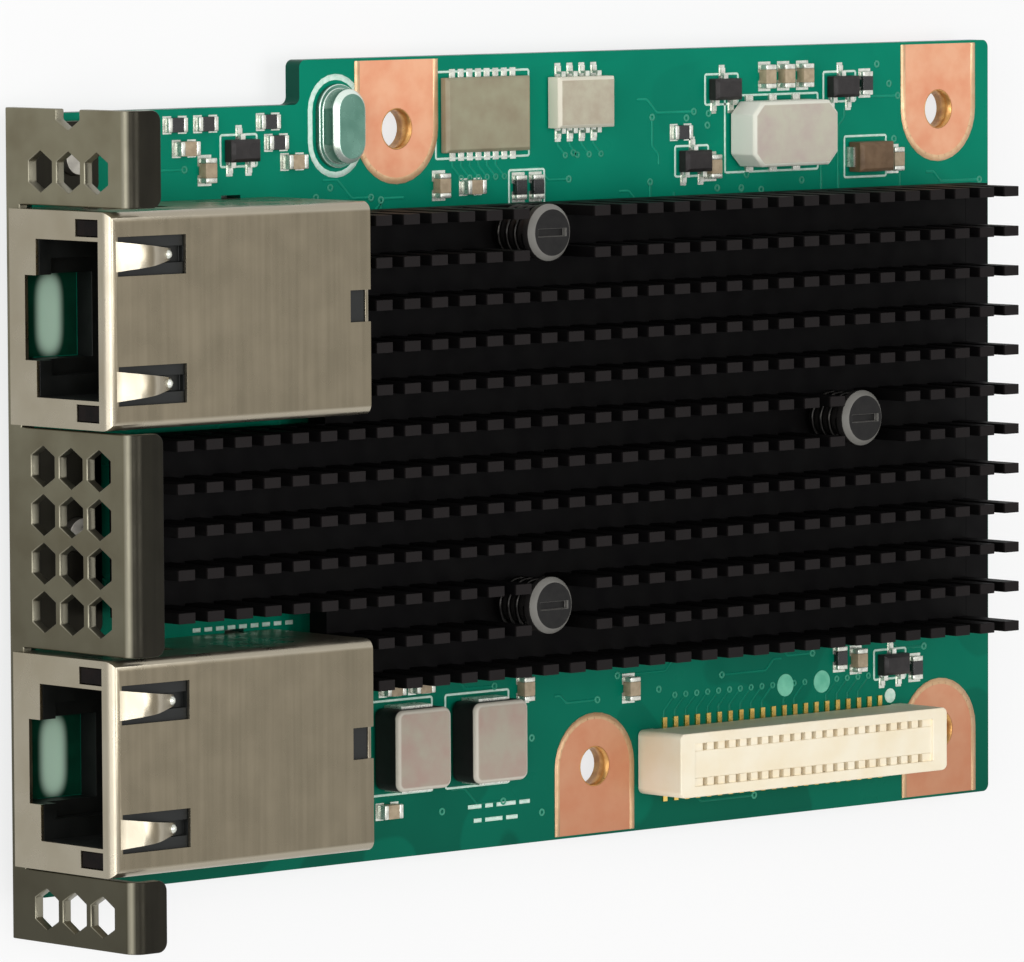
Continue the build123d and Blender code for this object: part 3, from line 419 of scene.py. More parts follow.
@dataclass(frozen=True, kw_only=True)
class PaintedShadeFinish(Finish):
    """A mottled finish that grows duller towards the card's lower edge.

    Attributes:
        painted_shade: Painted shade colour at the lower edge.
        painted_shade_mm: Places across the card where the painted shade is full and where it ends.
        painted_shade_share: Share of the painted shade where it is full.
    """

    painted_shade: Colour
    painted_shade_mm: Span = (-30.0, 0.0)
    painted_shade_share: float = 0.7

    def colour(self, sketch: Sketch) -> Socket:
        """Clouds that fade into the painted shade."""
        return sketch.fade(super().colour(sketch), self.painted_shade, self.painted_shade_mm, self.painted_shade_share)


@dataclass(frozen=True, kw_only=True)
class MaskFinish(PaintedShadeFinish):
    """Green lacquer over a laminate, with copper planes showing through and a bare laminate edge.

    Attributes:
        edge: Colour of the sawn laminate.
        plane: Colour over a copper plane.
        plane_mm: Rough size of a plane.
        plane_span: Noise levels between which a plane comes in.
        plane_share: Share of the plane's colour where it is full.
        face_span: How far up or down a face looks where the lacquer starts and is full.
    """

    edge: Colour
    plane: Colour
    plane_mm: float = 7.0
    plane_span: Span = (0.5, 0.52)
    plane_share: float = 0.2
    face_span: Span = (0.4, 0.6)

    def colour(self, sketch: Sketch) -> Socket:
        """Lacquer tones on the faces, lighter over the planes, and laminate on the edges.

        Args:
            sketch: The material under construction.

        Returns:
            The base colour.
        """
        copper = sketch.noise(self.plane_mm, detail=0.0)
        patches = sketch.span(copper, self.plane_span, (0.0, self.plane_share))
        faces = sketch.mix(patches, super().colour(sketch), self.plane)
        flat = sketch.maths("ABSOLUTE", sketch.facing("Z"), 0.0)
        return sketch.mix(sketch.span(flat, self.face_span), self.edge, faces)


@dataclass(frozen=True, kw_only=True)
class PaintedGlintFinish(Finish):
    """Lacquer with a painted glint that brightens it towards one place.

    Attributes:
        centre: The brightest place along and across the card, in metres.
        reach: Where the glint has faded out along and across the card, in metres.
        powers: How steeply it fades along and across the card.
        glint: Painted highlight colour at the brightest place.
    """

    centre: Place
    reach: Span
    powers: Span = (2.0, 4.0)
    glint: Colour

    def colour(self, sketch: Sketch) -> Socket:
        """Plain lacquer with a soft band of painted glint across the card.

        Args:
            sketch: The material under construction.

        Returns:
            The base colour.
        """
        shares = []
        for axis, middle, reach, power in zip("XY", self.centre, self.reach, self.powers):
            offset = sketch.maths("SUBTRACT", sketch.along(axis), middle)
            away = sketch.maths("ABSOLUTE", sketch.maths("DIVIDE", offset, reach), 0.0)
            shares.append(sketch.maths("POWER", away, power))
        distance = sketch.maths("ADD", *shares)
        fade = sketch.add("ShaderNodeMapRange", {"Value": distance, "To Min": 1.0, "To Max": 0.0},
                          interpolation_type="SMOOTHERSTEP")
        return sketch.mix(fade.outputs["Result"], super().colour(sketch), self.glint)


class Palette:
    """The finishes that follow no packed size, by what they cover."""

    # The lacquer, the tracks and the copper carry a painted shade towards the card's lower edge.
    lacquer = MaskFinish("lacquer", screen(0, 133, 105), screen(0, 121, 96), 0.34, cloud_mm=9, specular=0.07,
                         grain_mm=0.3, grain_depth_mm=0.004, edge=screen(6, 70, 56),
                         plane=screen(2, 138, 109), painted_shade=screen(0, 55, 42))
    track = PaintedShadeFinish("track_under_lacquer", screen(24, 150, 121), screen(14, 138, 110), 0.34, cloud_mm=4,
                        specular=0.1, painted_shade=screen(0, 76, 58))
    via = Finish("tented_via", screen(70, 160, 132), screen(44, 142, 114), 0.34, cloud_mm=2, specular=0.2)
    covered_pad = Finish("covered_pad", screen(128, 208, 178), screen(100, 186, 156), 0.36, cloud_mm=1.2,
                         specular=0.2)
    ink = Finish("marking_ink", screen(222, 242, 230), screen(192, 228, 210), 0.6, cloud_mm=0.5, specular=0.2)
    copper = PaintedShadeFinish("copper_field", screen(238, 176, 138), screen(228, 152, 114), 0.42, metallic=0.3,
                         cloud_mm=2.4, painted_shade=screen(164, 106, 72))
    copper_rim = PaintedShadeFinish("copper_rim", screen(236, 198, 154), screen(224, 178, 134), 0.4, metallic=0.3,
                             cloud_mm=1.0, painted_shade=screen(164, 130, 92))
    barrel = Finish("plated_barrel", screen(214, 164, 96), screen(176, 122, 66), 0.35, metallic=0.6,
                    cloud_mm=0.8)
    # Shield: the darker upward tone on the flat tops is painted shade and the bend tone is a painted highlight.
    shield = SheetFinish("shield_sheet", screen(160, 153, 136), screen(148, 140, 121), 0.3, metallic=0.95,
                         cloud_mm=6, upward=screen(126, 117, 99), upward_shade_streak=screen(112, 104, 87),
                         bend=screen(164, 156, 139))
    zinc = Finish("zinc_plate", screen(176, 172, 162), screen(150, 146, 138), 0.32, metallic=0.9,
                  cloud_mm=0.8)
    tin = Finish("tin_plate", screen(230, 232, 222), screen(188, 190, 180), 0.3, metallic=0.7, cloud_mm=0.4)
    solder = Finish("solder", screen(222, 226, 216), screen(190, 194, 184), 0.24, metallic=0.7, cloud_mm=0.5)
    gold = Finish("gold_plate", screen(236, 202, 116), screen(212, 172, 90), 0.26, metallic=1.0, cloud_mm=0.6)
    jack_black = Finish("jack_moulding", screen(12, 14, 13), screen(18, 20, 19), 0.5, cloud_mm=3,
                        specular=0.3)
    window = Finish("smoked_window", screen(20, 14, 12), screen(12, 9, 8), 0.2, cloud_mm=1.0, specular=0.05)
    resin = Finish("potting_resin", screen(30, 30, 30), screen(40, 38, 36), 0.4, cloud_mm=2.0)
    # Push pins: the pale rim is a painted highlight.
    nylon = TwoToneAndLitFinish("dark_nylon", screen(30, 29, 28), screen(22, 21, 21), 0.45, cloud_mm=0.8,
                          specular=0.15, side=screen(40, 38, 37), rim=screen(122, 120, 115))
    wire = Finish("spring_wire", screen(56, 54, 52), screen(40, 39, 38), 0.35, metallic=1.0, cloud_mm=0.5)
    gum = Finish("thermal_gum", screen(140, 150, 162), screen(120, 130, 142), 0.7, cloud_mm=1.5)
    substrate = Finish("chip_substrate", screen(40, 92, 62), screen(30, 78, 52), 0.4, cloud_mm=2.0)
    nickel = Finish("nickel_lid", screen(190, 188, 180), screen(172, 170, 162), 0.28, metallic=1.0,
                    cloud_mm=3.0)
    cream = Finish("cream_moulding", screen(252, 242, 218), screen(248, 234, 204), 0.46, cloud_mm=3.0,
                   specular=0.3)
    # Chokes: the dark sides are the ferrite's own colour and the pale rim is a painted highlight.
    ferrite = TwoToneAndLitFinish("ground_ferrite", screen(170, 162, 146), screen(170, 148, 136), 0.55,
                            cloud_mm=2.2, specular=0.3, side=screen(20, 18, 17), rim=screen(204, 198, 184))
    # Inductor: the paler sides and rim are painted light.
    pale_block = TwoToneAndLitFinish("pale_block", screen(196, 192, 174), screen(190, 176, 166), 0.5, cloud_mm=1.6,
                               specular=0.3, side=screen(238, 238, 226), rim=screen(226, 226, 212))
    # Crystal: the green tones are a painted reflection of the board, and the pale rim is a painted highlight.
    can = TwoToneAndLitFinish("nickel_can", screen(86, 130, 114), screen(112, 154, 138), 0.26, metallic=0.6,
                        cloud_mm=3.0, side=screen(84, 118, 106), rim=screen(224, 238, 228))
    brown_chip = Finish("brown_chip", screen(158, 154, 128), screen(146, 136, 112), 0.48, cloud_mm=2.4,
                        specular=0.3)
    # Memory chip: the pale sides and rim are painted light.
    grey_chip = TwoToneAndLitFinish("grey_chip", screen(192, 186, 164), screen(180, 168, 148), 0.5, cloud_mm=1.2,
                              specular=0.3, side=screen(236, 230, 210), rim=screen(226, 220, 202))
    black_chip = Finish("black_chip", screen(40, 36, 36), screen(30, 27, 27), 0.5, cloud_mm=1.0, specular=0.3)
    brown_block = Finish("brown_block", screen(116, 92, 68), screen(98, 76, 54), 0.5, cloud_mm=1.0,
                         specular=0.3)
    fired_brown = Finish("fired_brown", screen(178, 160, 132), screen(156, 138, 112), 0.45, cloud_mm=0.5)
    glaze = Finish("resistor_glaze", screen(36, 36, 36), screen(26, 26, 27), 0.25, cloud_mm=0.5)


@dataclass(frozen=True)
class Box:
    """A box in the card's frame.

    Attributes:
        low: Its lowest corner.
        high: Its highest corner.
    """

    low: Vector
    high: Vector

    @property
    def middle(self) -> Vector:
        """Centre of the box."""
        return (self.low + self.high) / 2

    @property
    def size(self) -> Vector:
        """Extent along each axis."""
        return self.high - self.low

    def holds(self, x: float, y: float, margin: float) -> bool:
        """True if a place on the board lies in the box or within a margin of it."""
        inside_x = self.low.x - margin < x < self.high.x + margin
        return inside_x and self.low.y - margin < y < self.high.y + margin

    def outline(self, margin: float) -> list[Place]:
        """Corners of the box seen from above, grown by a margin."""
        return [
            (self.low.x - margin, self.low.y - margin),
            (self.high.x + margin, self.low.y - margin),
            (self.high.x + margin, self.high.y + margin),
            (self.low.x - margin, self.high.y + margin),
        ]


def box_round(corners: Sequence[Vector]) -> Box:
    """Smallest box that holds some corners."""
    low = Vector([min(corner[axis] for corner in corners) for axis in range(3)])
    return Box(low, Vector([max(corner[axis] for corner in corners) for axis in range(3)]))


def node_box(node: str) -> Box:
    """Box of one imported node."""
    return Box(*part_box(node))


def merged_shape(node: str) -> bmesh.types.BMesh:
    """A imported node's triangles as one joined mesh to work on.

    Args:
        node: Name of the node.

    Returns:
        The joined mesh, which the caller frees.
    """
    shape = bmesh.new()
    shape.from_mesh(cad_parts[node].data)
    bmesh.ops.remove_doubles(shape, verts=shape.verts, dist=MERGE_MM * MM)
    return shape


def solid_boxes(node: str) -> list[Box]:
    """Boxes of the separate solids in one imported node.

    Args:
        node: Name of the node.

    Returns:
        One box for each solid, from front to rear.
    """
    shape = merged_shape(node)
    left = set(shape.verts)
    boxes = []
    while left:
        reached = [left.pop()]
        for vert in reached:
            near = {edge.other_vert(vert) for edge in vert.link_edges} & left
            left -= near
            reached.extend(near)
        boxes.append(box_round([vert.co for vert in reached]))
    shape.free()
    return sorted(boxes, key=lambda box: (round(box.low.x, 6), box.low.y, box.low.z))


def place_piece(name: str, mesh: bpy.types.Mesh) -> bpy.types.Object:
    """Make a mesh a piece of the card.

    Args:
        name: Name of the piece.
        mesh: Its mesh, in the card's frame.

    Returns:
        The new object, riding on the card.
    """
    piece = bpy.data.objects.new(name, mesh)
    bpy.context.scene.collection.objects.link(piece)
    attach(piece, BODY)
    log.info("%s: %d faces", name, len(mesh.polygons))
    return piece


def settled(piece: bpy.types.Object) -> bpy.types.Mesh:
    """The piece's mesh with its modifiers applied."""
    bpy.context.view_layer.update()
    return bpy.data.meshes.new_from_object(piece.evaluated_get(bpy.context.evaluated_depsgraph_get()))


def edged(node: str, finish: Finish, width_mm: float, segments: int = 2) -> bpy.types.Object:
    """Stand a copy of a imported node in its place, with its sharp edges broken.

    Args:
        node: Name of the node.
        finish: What covers it.
        width_mm: Width of the broken edge.
        segments: Steps across the broken edge.

    Returns:
        The new piece.
    """
    shape = merged_shape(node)
    flat_angle = math.radians(FLAT_DEGREES)
    bmesh.ops.dissolve_limit(shape, angle_limit=flat_angle, verts=shape.verts, edges=shape.edges)
    mesh = bpy.data.meshes.new(node + "_edged")
    shape.to_mesh(mesh)
    shape.free()
    mesh.shade_smooth()
    draft = bpy.data.objects.new("edge_draft", mesh)
    bpy.context.scene.collection.objects.link(draft)
    bevel = draft.modifiers.new("broken_edge", "BEVEL")
    bevel.width = width_mm * MM
    bevel.segments = segments
    bevel.limit_method = "ANGLE"
    bevel.angle_limit = math.radians(SHARP_DEGREES)
    even = draft.modifiers.new("even_faces", "WEIGHTED_NORMAL")
    even.weight = 100
    even.keep_sharp = True
    finished = settled(draft)
    bpy.data.objects.remove(draft)
    finished.materials.clear()
    finished.materials.append(finish.material())
    piece = place_piece(node + "_edged", finished)
    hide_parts(node)
    return piece


def dress(node: str, finish: Finish) -> None:
    """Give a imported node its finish.

    Args:
        node: Name of the node.
        finish: What covers it.
    """
    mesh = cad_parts[node].data
    mesh.materials.clear()
    mesh.materials.append(finish.material())
    log.info("%s: dressed in %s", node, finish.name)


class Stamp(Enum):
    """Small shapes that are set down many times."""

    BEAD = "bead"
    DOME = "dome"
    RING = "ring"
    PLATE = "plate"


class NodeTree:
    """A Geometry Nodes tree under construction, with named inputs."""

    def __init__(self, name: str, inputs: dict[str, str]) -> None:
        """Start a tree.

        Args:
            name: Name of the tree.
            inputs: Input name to socket type, after the geometry.
        """
        self.tree = bpy.data.node_groups.new(name, "GeometryNodeTree")
        self.tree.is_modifier = True
        face = self.tree.interface
        face.new_socket("Geometry", in_out="INPUT", socket_type="NodeSocketGeometry")
        for label, kind in inputs.items():
            face.new_socket(label, in_out="INPUT", socket_type="NodeSocket" + kind)
        face.new_socket("Geometry", in_out="OUTPUT", socket_type="NodeSocketGeometry")
        self.source = self.tree.nodes.new("NodeGroupInput")
        self.result = self.tree.nodes.new("NodeGroupOutput")

    def add(self, kind: str, inputs: dict, **settings: object) -> bpy.types.Node:
        """Add one node.

        Args:
            kind: The node's type name, without what all types start with.
            inputs: Socket name to a value or to another node's output.
            settings: Attributes to set on the node itself.

        Returns:
            The new node.
        """
        node = self.tree.nodes.new("GeometryNode" + kind)
        for key, value in settings.items():
            setattr(node, key, value)
        for key, value in inputs.items():
            if isinstance(value, Socket):
                self.tree.links.new(value, node.inputs[key])
            else:
                node.inputs[key].default_value = value
        return node

    def given(self, label: str) -> Socket:
        """Output of one named input."""
        return self.source.outputs[label]

    def sweep(self, path: Socket, section: Socket, caps: bool = True) -> bpy.types.Node:
        """Draw a section along a path."""
        return self.add("CurveToMesh", {"Curve": path, "Profile Curve": section, "Fill Caps": caps})

    def close(self, geometry: Socket) -> bpy.types.NodeTree:
        """End the tree in real meshes with their material.

        Args:
            geometry: What the tree has made.

        Returns:
            The finished tree.
        """
        real = self.add("RealizeInstances", {"Geometry": geometry})
        painted = self.add("SetMaterial", {"Geometry": real.outputs[0], "Material": self.given("Material")})
        self.tree.links.new(painted.outputs[0], self.result.inputs[0])
        return self.tree


def ribbon_tree() -> bpy.types.NodeTree:
    """Build the tree that turns lines into flat strips with rounded corners.

    Returns:
        The tree, with inputs Width, Thickness and Corner.
    """
    inputs = {"Width": "Float", "Thickness": "Float", "Corner": "Float", "Material": "Material"}
    tree = NodeTree("flat_ribbon", inputs)
    path = tree.add("MeshToCurve", {"Mesh": tree.given("Geometry")})
    corner = {"Radius": tree.given("Corner"), "Count": 3, "Limit Radius": True}
    soft = tree.add("FilletCurve", {"Curve": path.outputs[0], **corner}, mode="POLY")
    level = tree.add("SetCurveNormal", {"Curve": soft.outputs[0]}, mode="Z_UP")
    extent = {"Width": tree.given("Width"), "Height": tree.given("Thickness")}
    section = tree.add("CurvePrimitiveQuadrilateral", extent)
    return tree.close(tree.sweep(level.outputs[0], section.outputs[0]).outputs[0])


def coil_tree() -> bpy.types.NodeTree:
    """Build the tree that stands a wire coil on each point.

    Returns:
        The tree, with inputs Turns, Radius, Height and Wire.
    """
    inputs = {"Turns": "Float", "Radius": "Float", "Height": "Float", "Wire": "Float", "Material": "Material"}
    tree = NodeTree("wire_coil", inputs)
    radius = tree.given("Radius")
    extent = {"Start Radius": radius, "End Radius": radius, "Height": tree.given("Height")}
    path = tree.add("CurveSpiral", {"Resolution": 28, "Rotations": tree.given("Turns"), **extent})
    section = tree.add("CurvePrimitiveCircle", {"Resolution": 10, "Radius": tree.given("Wire")})
    wire = tree.sweep(path.outputs[0], section.outputs[0])
    copies = tree.add("InstanceOnPoints", {"Points": tree.given("Geometry"), "Instance": wire.outputs[0]})
    return tree.close(copies.outputs[0])


def stamp_tree(stamp: Stamp) -> bpy.types.NodeTree:
    """Build the tree that sets a small shape down on each point.

    Args:
        stamp: Which shape.

    Returns:
        The tree, with inputs Length, Width and Height for the shape.
    """
    inputs = {"Length": "Float", "Width": "Float", "Height": "Float", "Material": "Material"}
    tree = NodeTree("stamp_" + stamp.value, inputs)
    length, width, height = (tree.given(label) for label in ("Length", "Width", "Height"))
    if stamp is Stamp.BEAD:
        extent = {"Radius Top": width, "Radius Bottom": length, "Depth": height}
        shape = tree.add("MeshCone", {"Vertices": 12, **extent})
    elif stamp is Stamp.DOME:
        ball = tree.add("MeshUVSphere", {"Segments": 16, "Rings": 10, "Radius": length})
        shape = tree.add("SetShadeSmooth", {"Geometry": ball.outputs[0]})
    elif stamp is Stamp.RING:
        circle = tree.add("CurvePrimitiveCircle", {"Resolution": 32, "Radius": length})
        section = tree.add("CurvePrimitiveQuadrilateral", {"Width": width, "Height": height})
        shape = tree.sweep(circle.outputs[0], section.outputs[0], caps=False)
    else:
        extent = tree.tree.nodes.new("ShaderNodeCombineXYZ")
        for axis, side in zip("XYZ", (length, width, height)):
            tree.tree.links.new(side, extent.inputs[axis])
        shape = tree.add("MeshCube", {"Size": extent.outputs[0]})
    copies = tree.add("InstanceOnPoints", {"Points": tree.given("Geometry"), "Instance": shape.outputs[0]})
    return tree.close(copies.outputs[0])


def grown(name: str, seed: bpy.types.Mesh, tree: bpy.types.NodeTree, inputs: dict[str, object]) -> bpy.types.Object:
    """Run a Geometry Nodes tree on a seed mesh and keep the result as a plain piece.

    Args:
        name: Name of the piece.
        seed: Points or lines that the tree starts from.
        tree: The tree.
        inputs: Values for the tree's named inputs.

    Returns:
        The finished piece.
    """
    draft = bpy.data.objects.new("grown_draft", seed)
    bpy.context.scene.collection.objects.link(draft)
    modifier = draft.modifiers.new("grow", "NODES")
    modifier.node_group = tree
    for item in tree.interface.items_tree:
        if item.name in inputs and item.in_out == "INPUT":
            modifier[item.identifier] = inputs[item.name]
    mesh = settled(draft)
    bpy.data.objects.remove(draft)
    mesh.name = name
    return place_piece(name, mesh)


def points_mesh(points: Iterable[Sequence[float]]) -> bpy.types.Mesh:
    """A mesh of loose points.

    Args:
        points: Where they are, in the card's frame.

    Returns:
        The mesh.
    """
    mesh = bpy.data.meshes.new("points")
    mesh.from_pydata([tuple(point) for point in points], [], [])
    return mesh


def lines_mesh(lines: Iterable[Line], height: float, closed: bool) -> bpy.types.Mesh:
    """A mesh of flat lines.

    Args:
        lines: Each line's points, seen from above.
        height: Height of all the points.
        closed: True if each line joins its own start.

    Returns:
        The mesh, with an edge for each step.
    """
    verts: list[Size] = []
    edges: list[tuple[int, int]] = []
    for line in lines:
        first = len(verts)
        verts.extend((x, y, height) for x, y in line)
        edges.extend((index, index + 1) for index in range(first, len(verts) - 1))
        if closed:
            edges.append((len(verts) - 1, first))
    mesh = bpy.data.meshes.new("lines")
    mesh.from_pydata(verts, edges, [])
    return mesh


@dataclass
class Workshop:
    """The trees that the sub-assemblies share.

    Attributes:
        ribbon: Flat strips along lines.
        coil: Wire coils on points.
        stamps: Small shapes on points.
    """

    ribbon: bpy.types.NodeTree
    coil: bpy.types.NodeTree
    stamps: dict[Stamp, bpy.types.NodeTree]

    @classmethod
    def open(cls) -> "Workshop":
        """Build the trees once."""
        return cls(ribbon_tree(), coil_tree(), {stamp: stamp_tree(stamp) for stamp in Stamp})

    def ribbons(self, name: str, lines: Iterable[Line], height: float, width_mm: float, finish: Finish,
                slot: str, closed: bool = False, corner_mm: float = 0.2,
                thickness_mm: float = 0.03) -> bpy.types.Object:
        """Lay flat strips along lines.

        Args:
            name: Name of the piece.
            lines: Each strip's line, seen from above.
            height: Height of the strips' middle.
            width_mm: Width of a strip.
            finish: What covers it.
            slot: The record's material slot; not used.
            closed: True if each line joins its own start.
            corner_mm: Radius at the corners.
            thickness_mm: Thickness of a strip.

        Returns:
            The finished piece.
        """
        inputs = {"Width": width_mm * MM, "Thickness": thickness_mm * MM, "Corner": corner_mm * MM,
                  "Material": finish.material()}
        return grown(name, lines_mesh(lines, height, closed), self.ribbon, inputs)

    def stamped(self, name: str, stamp: Stamp, points: Iterable[Sequence[float]], size_mm: Sequence[float],
                finish: Finish, slot: str) -> bpy.types.Object:
        """Set a small shape down on points.

        Args:
            name: Name of the piece.
            stamp: Which shape.
            points: Where.
            size_mm: The shape's length, width and height.
            finish: What covers it.
            slot: The record's material slot; not used.

        Returns:
            The finished piece.
        """
        inputs = dict(zip(("Length", "Width", "Height"), (size * MM for size in size_mm)))
        inputs["Material"] = finish.material()
        return grown(name, points_mesh(points), self.stamps[stamp], inputs)


@dataclass
class Board:
    """The circuit board with its copper, tracks, vias, markings and small pads.

    Attributes:
        workshop: Shared trees.
        seed: Start of the random draws.
        via_count: Tries at setting down a via.
        via_mm: Radius, width and thickness of a via's ring.
        fan_via_mm: The same at the end of a fanned track.
        via_gap_mm: Least distance between vias.
        via_margin_mm: Room round a via.
        track_mm: Width of a track.
        track_margin_mm: Room round a track's corners.
        skin_mm: Height of a track's middle over the lacquer.
        run_mm: Shortest and longest straight run of a track.
        jog_mm: Shortest and longest sideways jog of a track.
        lengthwise_share: Share of the tracks that run along the card.
        fans_mm: Nodes whose pads fan out, with the straight run and the slant.
        edge_mm: Strip along the board's edges that stays clear.
        step_mm: Height of the step in the upper edge.
        step_gap_mm: Distance of the step from the crystal.
        rim_mm: Width and thickness of a copper field's rim.
        fixing_mm: Radius of a fixing hole.
        barrel_mm: Inset, wall and height of the barrel in a fixing hole.
        ink_mm: Width of a marking line.
        ink_lift_mm: Height of its middle over the lacquer.
        ink_corner_mm: Radius at its corners.
        body_gap_mm: Room between a chip or block and its outline.
        choke_gap_mm: The same for a power choke.
        chip_gap_mm: The same for a small chip.
        pair_gap_mm: The same for the two chips that share an outline.
        pair_place_mm: Place of those two from the board's corner, and their reach.
        can_gap_mm: Room between the crystal and its outline.
        can_ink_mm: Width of the crystal's outline.
        bar_mm: Width of a bare marking bar.
        bar_gap_mm: Gap between bars.
        pin_one_mm: Place of the connector's round mark from the board's rear and lower edges.
        pin_one_size_mm: Lower and upper radius of that mark, and its thickness.
        land_mm: Size of the solder land under a chip part's end.
    """

    workshop: Workshop
    seed: int = 11
    via_count: int = 420
    via_mm: Size = (0.22, 0.16, 0.05)
    fan_via_mm: Size = (0.2, 0.14, 0.05)
    via_gap_mm: float = 0.9
    via_margin_mm: float = 0.5
    track_mm: float = 0.22
    track_margin_mm: float = 0.15
    skin_mm: float = 0.01
    run_mm: Span = (1.5, 6.0)
    jog_mm: Span = (0.6, 2.0)
    lengthwise_share: float = 0.6
    fans_mm: tuple[tuple[str, float, float], ...] = (
        ("connector_contacts", 0.5, 1.2), ("interface_chip_pads", 0.7, 0.9), ("memory_chip_leads", 0.5, 0.8))
    edge_mm: float = 0.9
    step_mm: float = 3.4
    step_gap_mm: float = 2.0
    rim_mm: Span = (0.5, 0.06)
    fixing_mm: float = 1.6
    barrel_mm: Size = (0.05, 0.08, 1.68)
    ink_mm: float = 0.18
    ink_lift_mm: float = 0.012
    ink_corner_mm: float = 0.15
    body_gap_mm: float = 0.45
    choke_gap_mm: float = 0.5
    chip_gap_mm: float = 0.35
    pair_gap_mm: float = 0.4
    pair_place_mm: Size = (49.5, 51.4, 1.0)
    can_gap_mm: float = 0.55
    can_ink_mm: float = 0.45
    bar_mm: float = 0.32
    bar_gap_mm: float = 0.4
    pin_one_mm: Place = (11.4, 8.7)
    pin_one_size_mm: Size = (0.6, 0.6, 0.06)
    land_mm: Size = (0.85, 1.35, 0.06)

    def __post_init__(self) -> None:
        """Read the board's place and start the random draws."""
        self.box = node_box("circuit_board")
        self.top = self.box.high.z
        self.under = self.box.low.z
        self.random = random.Random(self.seed)

    def build(self) -> None:
        """Dress the board and lay its copper, tracks, vias, markings and pads."""
        dress("circuit_board", Palette.lacquer)
        dress("ground_pads", Palette.copper)
        dress("test_pads", Palette.covered_pad)
        self.wiring()
        self.copper_rims()
        self.markings()
        self.chip_pads()

    def obstacles(self) -> list[Box]:
        """Find what lies flat or stands on the component face, apart from the sink and the bracket.

        Returns:
            One box for each.
        """
        whole = ["lower_jack_shield", "upper_jack_shield", "connector_body", "supply_inductor_body",
                 "crystal_can", "interface_chip_body", "memory_chip_body", "block_capacitor_body"]
        groups = ["ground_pads", "power_choke_bodies", "small_chip_bodies", "chip_capacitors",
                  "chip_resistors", "test_pads", "chip_end_caps"]
        return [node_box(node) for node in whole] + [box for node in groups for box in solid_boxes(node)]

    def free(self, x: float, y: float, boxes: Sequence[Box], margin: float) -> bool:
        """Tell whether a place is on the board and clear of the boxes.

        Args:
            x: Place along the card.
            y: Place across the card.
            boxes: What stands in the way.
            margin: Room to keep from the boxes.

        Returns:
            True if the place is free.
        """
        edge = self.edge_mm * MM
        step_x = node_box("crystal_can").low.x - self.step_gap_mm * MM
        top_edge = self.box.high.y - (self.step_mm * MM if x < step_x else 0.0)
        along = self.box.low.x + edge < x < self.box.high.x - edge
        across = self.box.low.y + edge < y < top_edge - edge
        return along and across and not any(box.holds(x, y, margin) for box in boxes)

    def tracks(self, boxes: Sequence[Box]) -> tuple[list[Place], list[Line]]:
        """Draw vias and the tracks that leave them.

        Args:
            boxes: What stands in the way.

        Returns:
            The vias' places and the tracks' lines.
        """
        vias: list[Place] = []
        lines: list[Line] = []
        for _ in range(self.via_count):
            x = self.random.uniform(self.box.low.x, self.box.high.x)
            y = self.random.uniform(self.box.low.y, self.box.high.y)
            turn = self.random.choice((-1, 1))
            run = self.random.uniform(*self.run_mm) * MM
            jog = self.random.uniform(*self.jog_mm) * MM
            lengthwise = self.random.random() < self.lengthwise_share
            crowded = any(math.dist((x, y), via) < self.via_gap_mm * MM for via in vias)
            if crowded or not self.free(x, y, boxes, self.via_margin_mm * MM):
                continue
            vias.append((x, y))
            steps = [(0, 0), (turn * run, 0), (turn * (run + jog), jog), (turn * (run + 2 * jog), jog)]
            line = [(x + far, y + aside) if lengthwise else (x + aside, y + far) for far, aside in steps]
            if all(self.free(*corner, boxes, self.track_margin_mm * MM) for corner in line):
                lines.append(line)
        return vias, lines

    def fan_out(self, node: str, run_mm: float, slant_mm: float) -> list[Line]:
        """Tracks that leave a part's pads straight outwards and then slant away.

        Args:
            node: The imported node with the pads.
            run_mm: Length of the straight run.
            slant_mm: Reach of the slant along each axis.

        Returns:
            One line for each pad.
        """
        middle = node_box(node).middle
        lines = []
        for pad in solid_boxes(node):
            side = 1 if pad.middle.y > middle.y else -1
            y = pad.high.y if side > 0 else pad.low.y
            bend = y + side * run_mm * MM
            end = (pad.middle.x + slant_mm * MM, bend + side * slant_mm * MM)
            lines.append([(pad.middle.x, y), (pad.middle.x, bend), end])
        return lines

    def wiring(self) -> None:
        """Lay the fanned tracks and, on both faces, the tracks and vias between the parts."""
        boxes = self.obstacles()
        skin = self.skin_mm * MM
        fans = [fan for spread in self.fans_mm for fan in self.fan_out(*spread)]
        fans = [fan for fan in fans if self.free(*fan[-1], boxes, 0.0)]
        fan_boxes = [Box(Vector((*fan[0], 0)), Vector((*fan[-1], 0))) for fan in fans]
        vias, lines = self.tracks(boxes + fan_boxes)
        self.workshop.ribbons("fan_out_tracks", fans, self.top + skin, self.track_mm, Palette.track,
                              "solder_mask", corner_mm=0.2)
        self.workshop.stamped("fan_out_vias", Stamp.RING, [(*fan[-1], self.top + skin) for fan in fans],
                              self.fan_via_mm, Palette.via, "solder_mask")
        for label, height in (("upper", self.top + skin), ("under", self.under - skin)):
            self.workshop.ribbons(f"{label}_tracks", lines, height, self.track_mm, Palette.track,
                                  "solder_mask", corner_mm=0.4)
            self.workshop.stamped(f"{label}_vias", Stamp.RING, [(x, y, height) for x, y in vias], self.via_mm,
                                  Palette.via, "solder_mask")

